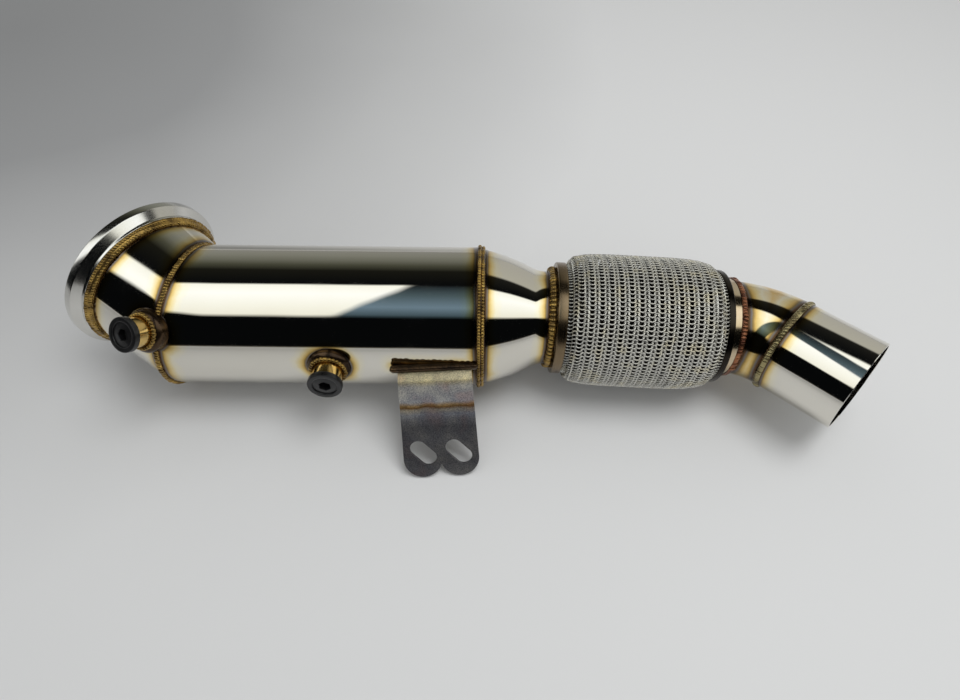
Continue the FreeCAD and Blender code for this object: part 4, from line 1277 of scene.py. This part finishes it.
@dataclass
class Bracket:
    """The folded bracket with two lobes and two slanted slots."""

    middle: float = 203.9
    stand: float = 9.1
    angle: float = 4.4
    turn: float = 4.0
    slope: float = 50.8
    fold: float = 28.2
    fold_steps: int = 8
    bend_radius: float = 4.5
    thick: float = 3.0
    half: float = 28.5
    flare: float = 3.2
    reach: float = 65.2
    lobe: float = 15.4
    slot_radius: float = 6.6
    slot_half: float = 5.6
    slant: float = 46.0
    slot_back: float = 5.4
    slot_inset: float = 0.6
    barrel_radius: float = 57.15
    barrel_gap: float = 0.3
    edge: float = 0.35
    bead_back: float = 0.6
    bead_rise: float = 0.7
    bead_past: float = 2.2
    cross_cuts: Triple = (12.0, 24.0, 36.0)

    @property
    def place(self) -> Matrix:
        """Placement at the fold: Y down the plate, Z out of its back."""
        out, lift = self.barrel_radius + self.stand, math.radians(self.angle)
        return (ROUTE.barrel @ shifted(self.middle, -out * math.cos(lift), out * math.sin(lift))
                @ spun("Z", self.turn) @ spun("X", self.slope + 180))

    @property
    def foot(self) -> float:
        """Length of the foot from the fold to the barrel."""
        out, rise = self.barrel_radius + self.stand, math.radians(
            self.slope - self.fold + self.angle)
        return out * math.cos(rise) - math.sqrt(
            self.barrel_radius ** 2 - (out * math.sin(rise)) ** 2)

    @property
    def setback(self) -> float:
        """Distance from the fold's sharp corner to where its round starts."""
        return self.bend_radius * math.tan(math.radians(self.fold / 2))

    @property
    def bend_run(self) -> float:
        """Length of sheet in the fold."""
        return self.bend_radius * math.radians(self.fold)

    @property
    def developed(self) -> float:
        """Length of sheet above the start of the fold."""
        return self.bend_run + self.foot - self.setback - self.barrel_gap

    def bead_line(self) -> tuple[Vector, Vector]:
        """Find both ends of the weld in the corner between the foot and the barrel.

        Returns:
            The two ends, in metres.
        """
        turn = math.radians(self.fold)
        back, up = self.foot - self.bead_back, -(self.thick / 2 + self.bead_rise)
        across = math.sin(turn) * up - math.cos(turn) * back
        rise = math.sin(turn) * back + math.cos(turn) * up
        half = self.half + self.bead_past
        start, end = (self.place @ (Vector((x, across, rise)) * MM) for x in (-half, half))
        return start, end

    def heat(self) -> HeatStrip:
        """The tint along the bracket's weld."""
        return HeatStrip(*self.bead_line())

    def lobe_points(self, across: float, start: float, end: float, steps: int = 28) -> list[Pair]:
        """Points round one lobe between two angles in degrees."""
        angles = [math.radians(start + (end - start) * step / steps) for step in range(steps + 1)]
        return [(across + self.lobe * math.cos(angle), self.reach + self.lobe * math.sin(angle))
                for angle in angles]

    def outline(self) -> list[Pair]:
        """The flat blank's outline, with the foot unfolded at its top.

        Returns:
            Its points, with Y down the plate from the fold's sharp corner.
        """
        tip = self.half + self.flare
        gap = (self.half + tip) / 2 - self.lobe
        meet = math.degrees(math.acos(gap / self.lobe))
        lobes = (self.lobe_points(self.lobe - self.half, 180, meet)
                 + self.lobe_points(tip - self.lobe, 180 - meet, 0))
        left = [(-self.half, -self.developed), (-self.half, 0.0)]
        right = [(self.half, 0.0), (self.half, -self.developed)]
        return left + [(x, y - self.setback) for x, y in lobes] + right

    def slot(self, across: float, steps: int = 20) -> list[Pair]:
        """The outline of one slanted slot.

        Args:
            across: Its middle across the plate.
            steps: Edges in each of its round ends.

        Returns:
            Its points.
        """
        lean = math.radians(self.slant)
        up = self.reach - self.slot_back - self.setback
        points = []
        for end in (1, -1):
            for step in range(steps + 1):
                angle = math.radians(180 * step / steps - 90 * end)
                along = end * self.slot_half + self.slot_radius * math.cos(angle)
                aside = self.slot_radius * math.sin(angle)
                points.append((across + math.cos(lean) * along - math.sin(lean) * aside,
                               up + math.sin(lean) * along + math.cos(lean) * aside))
        return points

    def bent(self, point: Vector) -> Vector:
        """Fold a point of the flat blank.

        Args:
            point: The point, with Y down the plate from where the fold ends.

        Returns:
            The folded point from the fold's sharp corner.
        """
        if point.y >= 0:
            return Vector((point.x, point.y + self.setback, point.z))
        turn = min(-point.y, self.bend_run) / self.bend_radius
        past = max(-point.y - self.bend_run, 0.0)
        arm = self.bend_radius - point.z
        return Vector((point.x,
                       self.setback - arm * math.sin(turn) - past * math.cos(turn),
                       self.bend_radius - arm * math.cos(turn) + past * math.sin(turn)))

    def blank(self) -> Piece:
        """Stamp the flat blank with its slots and its rounded edges.

        Returns:
            The blank in millimetres, flat at the origin.
        """
        curve = bpy.data.curves.new("bracket_blank", "CURVE")
        curve.dimensions = "2D"
        curve.fill_mode = "BOTH"
        curve.extrude = self.thick / 2 - self.edge
        curve.bevel_depth = self.edge
        curve.offset = -self.edge
        curve.bevel_resolution = 2
        left = self.lobe - self.half + self.slot_inset
        right = self.half + self.flare - self.lobe - self.slot_inset
        for points in (self.outline(), self.slot(left), self.slot(right)):
            spline = curve.splines.new("POLY")
            spline.points.add(len(points) - 1)
            spline.use_cyclic_u = True
            for corner, (x, y) in zip(spline.points, points):
                corner.co = (x, y, 0.0, 1.0)
        return evaluated(linked("bracket_blank", curve), "bracket_plate")

    def build(self) -> None:
        """Fold the blank and dress it."""
        flat = self.blank()
        form = bmesh.new()
        form.from_mesh(flat.data)
        bmesh.ops.remove_doubles(form, verts=form.verts, dist=MM)
        lines = [-self.bend_run * step / self.fold_steps for step in range(self.fold_steps + 1)]
        for line in (*lines, *self.cross_cuts):
            bmesh.ops.bisect_plane(form, geom=form.verts[:] + form.edges[:] + form.faces[:],
                                   plane_co=(0, line, 0), plane_no=(0, 1, 0))
        for vert in form.verts:
            vert.co = self.place @ (self.bent(vert.co) * MM)
        bmesh.ops.recalc_face_normals(form, faces=form.faces)
        form.to_mesh(flat.data)
        form.free()
        smoothed(flat.data, 25.0)
        dressed(flat, MillSheet("mill_sheet", Axis.of(self.place, 1)), "bracket_steel", "bracket")


@dataclass
class WeldRun:
    """One run of weld ripples along a path."""

    name: str
    path: Path
    width: float
    rise: float
    pitch: float
    tone: BeadTone
    seed: int
    slot: str = "tinted_bead"
    cyclic: bool = True


@dataclass
class Welds:
    """Every weld of the pipe: its smooth root from the solids and the ripples on it."""

    bungs: Sequence[SensorBung]
    bracket: Bracket
    bung_ring: float = 13.2
    bung_points: int = 72
    bung_rise: float = 1.2
    foot_steps: int = 40
    foot_lift: Triple = (0.0, -0.55, 0.83)
    foot_reach: float = 20.0
    overlap: float = 1.5
    lean: float = 14.0
    group: Group = field(default_factory=ripple_group)

    @staticmethod
    def hoop(place: Matrix, radius: float, cone: float = 0.0) -> Path:
        """A round path, its outward direction tipped along the pipe by an angle in degrees.

        Args:
            place: Its centre, X along the pipe.
            radius: Its radius.
            cone: How far its outward direction tips.

        Returns:
            The path and its outward directions.
        """
        ring = circle(place, radius)
        axis, tip = Axis.of(place), math.radians(cone)
        return ring, [(point - axis.point).normalized() * math.cos(tip) + axis.way * math.sin(tip)
                      for point in ring]

    @staticmethod
    def surface(node: str) -> BVHTree:
        """A solid's surface, to lay paths on."""
        mesh = frame["nodes"][node].data
        return BVHTree.FromPolygons([v.co for v in mesh.vertices],
                                    [p.vertices for p in mesh.polygons])

    def round_mitre(self) -> Path:
        """The slanted path round the mitre joint."""
        ring = Tubes().mitre_ring(0.0)
        return ring, [(point - ROUTE.barrel.translation).normalized() for point in ring]

    def round_bung(self, bung: SensorBung) -> Path:
        """The path of ripples on a bung's weld.

        Args:
            bung: The bung.

        Returns:
            The path and its outward directions.
        """
        surface = self.surface(f"{bung.name}_bung_weld")
        top = Axis.of(bung.place @ shifted(bung.face))
        path, out = [], []
        for point in circle(bung.place @ shifted(bung.face), self.bung_ring, self.bung_points):
            hit, normal, *_ = surface.ray_cast(point, -top.way)
            away = (point - top.point).normalized()
            path.append(hit)
            out.append((away + normal.normalized() * self.bung_rise).normalized())
        return path, out

    def along_foot(self) -> Path:
        """The path of ripples along the bracket's foot.

        Returns:
            The path and its outward directions.
        """
        start, end = self.bracket.bead_line()
        lift = Vector(self.foot_lift).normalized()
        foot = self.surface("bracket_weld")
        line = [start.lerp(end, step / self.foot_steps) for step in range(self.foot_steps + 1)]
        line = [foot.ray_cast(point + lift * self.foot_reach * MM, -lift)[0] or point
                for point in line]
        return line, [lift] * len(line)

    def runs(self) -> list[WeldRun]:
        """List every run of ripples, with its width, rise, pitch, tone and seed.

        Returns:
            The runs from the flange to the bracket.
        """
        hoop, inlet, edge = self.hoop, ROUTE.inlet, ROUTE.barrel_edge
        gold, straw, copper, dark = BeadTone
        bungs = [WeldRun(f"{bung.name}_bung_ripples", self.round_bung(bung), 3.8, 3.2, 3.0, gold,
                         seed) for bung, seed in zip(self.bungs, (29, 31))]
        return [
            WeldRun("flange_ripples_inner", hoop(inlet @ shifted(46.0), 59.1, -38),
                    3.4, 2.6, 2.6, gold, 3),
            WeldRun("flange_ripples_outer", hoop(inlet @ shifted(48.3), 61.1, -38),
                    3.2, 2.6, 2.3, gold, 5),
            WeldRun("mitre_ripples", self.round_mitre(), 4.6, 3.4, 2.3, gold, 7),
            WeldRun("barrel_ripples_edge", hoop(edge @ shifted(-1.3), 57.4, 8),
                    3.0, 3.0, 2.4, gold, 11),
            WeldRun("barrel_ripples_toe", hoop(edge @ shifted(1.5), 56.5, 20),
                    3.0, 2.8, 2.6, gold, 13),
            WeldRun("neck_ripples", hoop(ROUTE.flex, 39.6, -20), 6.4, 4.4, 4.0, gold, 17),
            WeldRun("rear_ripples", hoop(ROUTE.rear_joint, 39.4, 18), 5.2, 3.4, 3.0, copper, 19,
                    "copper_bead"),
            WeldRun("outlet_ripples", hoop(ROUTE.outlet, 38.3), 4.8, 3.2, 2.8, straw, 23),
            *bungs,
            WeldRun("bracket_ripples", self.along_foot(), 4.2, 4.0, 4.2, dark, 37, "dark_bead",
                    cyclic=False),
        ]

    def lay(self, run: WeldRun) -> None:
        """Lay one run of ripples.

        Args:
            run: The run.
        """
        path, outward = run.path
        mesh = bpy.data.meshes.new(run.name)
        count = len(path)
        edges = [(step, (step + 1) % count) for step in range(count if run.cyclic else count - 1)]
        mesh.from_pydata(path, edges, [])
        ways = mesh.attributes.new("outward", "FLOAT_VECTOR", "POINT")
        ways.data.foreach_set("vector", [part for way in outward for part in way])
        finish = WeldMetal.of(run.tone)
        piece = self.group.run(
            linked(run.name, mesh), Pitch=run.pitch * MM, Length=run.pitch * self.overlap * MM,
            Width=run.width * MM, Rise=run.rise * MM, Lean=math.radians(self.lean),
            Seed=run.seed, Material=finish.material())
        dressed(piece, finish, run.slot)

    def build(self) -> None:
        """Lay every run and finish the smooth roots."""
        for run in self.runs():
            self.lay(run)
        roots = {
            BeadTone.GOLD: ("flange_weld", "inlet_weld"),
            BeadTone.STRAW: ("outlet_weld",),
            BeadTone.COPPER: ("rear_weld",),
            BeadTone.DARK: ("bracket_weld", "barrel_weld", "neck_weld", "front_bung_weld",
                            "rear_bung_weld"),
        }
        for tone, nodes in roots.items():
            for node in nodes:
                refinished(node, WeldMetal.of(tone))


@dataclass
class Studio:
    """The pale floor, the light tent, the lamp and the camera, in metres."""

    floor_size: float = 9.0
    floor_middle: float = 0.3
    tent_radius: float = 1.4
    tent_length: float = 2.4
    tent_shift: float = 0.2
    tent_gap: float = 0.002
    sky_colour: str = "#E4E4E4"
    sky_strength: float = 0.72
    lamp_at: Triple = (0.66, -0.05, 1.25)
    lamp_aim: Triple = (0.35, 0.05, 0.0)
    lamp_size: float = 0.8
    lamp_power: float = 9.0
    camera_at: Triple = (0.29076, -0.34797, 0.40402)
    look: Triple = (-0.00493726, 0.55778563, -0.82997037)
    right: Triple = (0.99992308, 0.01219729, 0.00224899)
    lens: float = 23.25

    def floor(self) -> None:
        """Lay the floor under the pipe."""
        form = bmesh.new()
        bmesh.ops.create_grid(form, x_segments=1, y_segments=1, size=self.floor_size / 2)
        bmesh.ops.translate(form, vec=(self.floor_middle, 0.0, CAD_BOX[0][2]), verts=form.verts)
        piece = formed("studio_floor", form)
        piece.data.materials.append(PaleFloor("pale_floor").material())

    def tent(self) -> None:
        """Stretch the tent that the polished metal mirrors."""
        centre = ROUTE.barrel.translation
        form = bmesh.new()
        bmesh.ops.create_uvsphere(form, u_segments=96, v_segments=64, radius=self.tent_radius)
        for vert in form.verts:
            vert.co.x *= self.tent_length / self.tent_radius
            vert.co += centre + Vector((self.tent_shift, 0.0, 0.0))
        low = [vert for vert in form.verts if vert.co.z < CAD_BOX[0][2] + self.tent_gap]
        bmesh.ops.delete(form, geom=low, context="VERTS")
        piece = formed("studio_tent", form)
        piece.data.materials.append(TentLight("tent_light", centre).material())
        for ray in ("camera", "diffuse", "transmission", "volume_scatter", "shadow"):
            setattr(piece, f"visible_{ray}", False)

    def lamp(self) -> None:
        """Hang a soft lamp that is not itself mirrored."""
        light = bpy.data.lights.new("softbox", "AREA")
        light.shape = "DISK"
        light.size = self.lamp_size
        light.energy = self.lamp_power
        lamp = linked("softbox", light)
        lamp.location = self.lamp_at
        aim = Vector(self.lamp_aim) - Vector(self.lamp_at)
        lamp.rotation_euler = aim.to_track_quat("-Z", "Y").to_euler()
        lamp.visible_glossy = False

    def world(self) -> None:
        """Light the room with an even pale sky."""
        sky = bpy.data.worlds.new("studio_air")
        bpy.context.scene.world = sky
        sky.use_nodes = True
        back = sky.node_tree.nodes["Background"]
        back.inputs["Color"].default_value = linear(self.sky_colour)
        back.inputs["Strength"].default_value = self.sky_strength

    def camera(self) -> None:
        """Set the camera where the photograph was taken."""
        look, right = Vector(self.look).normalized(), Vector(self.right).normalized()
        turn = Matrix((right, right.cross(look), -look)).transposed().to_4x4()
        lens = bpy.data.cameras.new("photo_camera")
        lens.lens = self.lens
        lens.clip_start = 0.01
        seen = linked("photo_camera", lens)
        seen.matrix_world = Matrix.Translation(self.camera_at) @ turn
        bpy.context.scene.camera = seen

    def build(self) -> None:
        """Set up the whole studio."""
        self.floor()
        self.tent()
        self.world()
        self.lamp()
        self.camera()
        bpy.context.scene.view_settings.view_transform = "Standard"


def main() -> None:
    """Build the pipe's pieces in order, and set up the studio."""
    logging.basicConfig(level=logging.INFO, format="%(name)s: %(message)s")
    front = SensorBung("front", ROUTE.inlet @ shifted(-9.6) @ spun("X", 41.5) @ spun("Z", 90))
    rear = SensorBung("rear", ROUTE.barrel_edge @ shifted(-116.7) @ spun("X", -8.7)
                      @ spun("Z", -90))
    bracket = Bracket()
    TurboFlange().build()
    Tubes().build((front, rear), bracket)
    FlexSection().build()
    for bung in (front, rear):
        bung.build()
    bracket.build()
    Welds((front, rear), bracket).build()
    Studio().build()


if __name__ == "__main__":
    main()
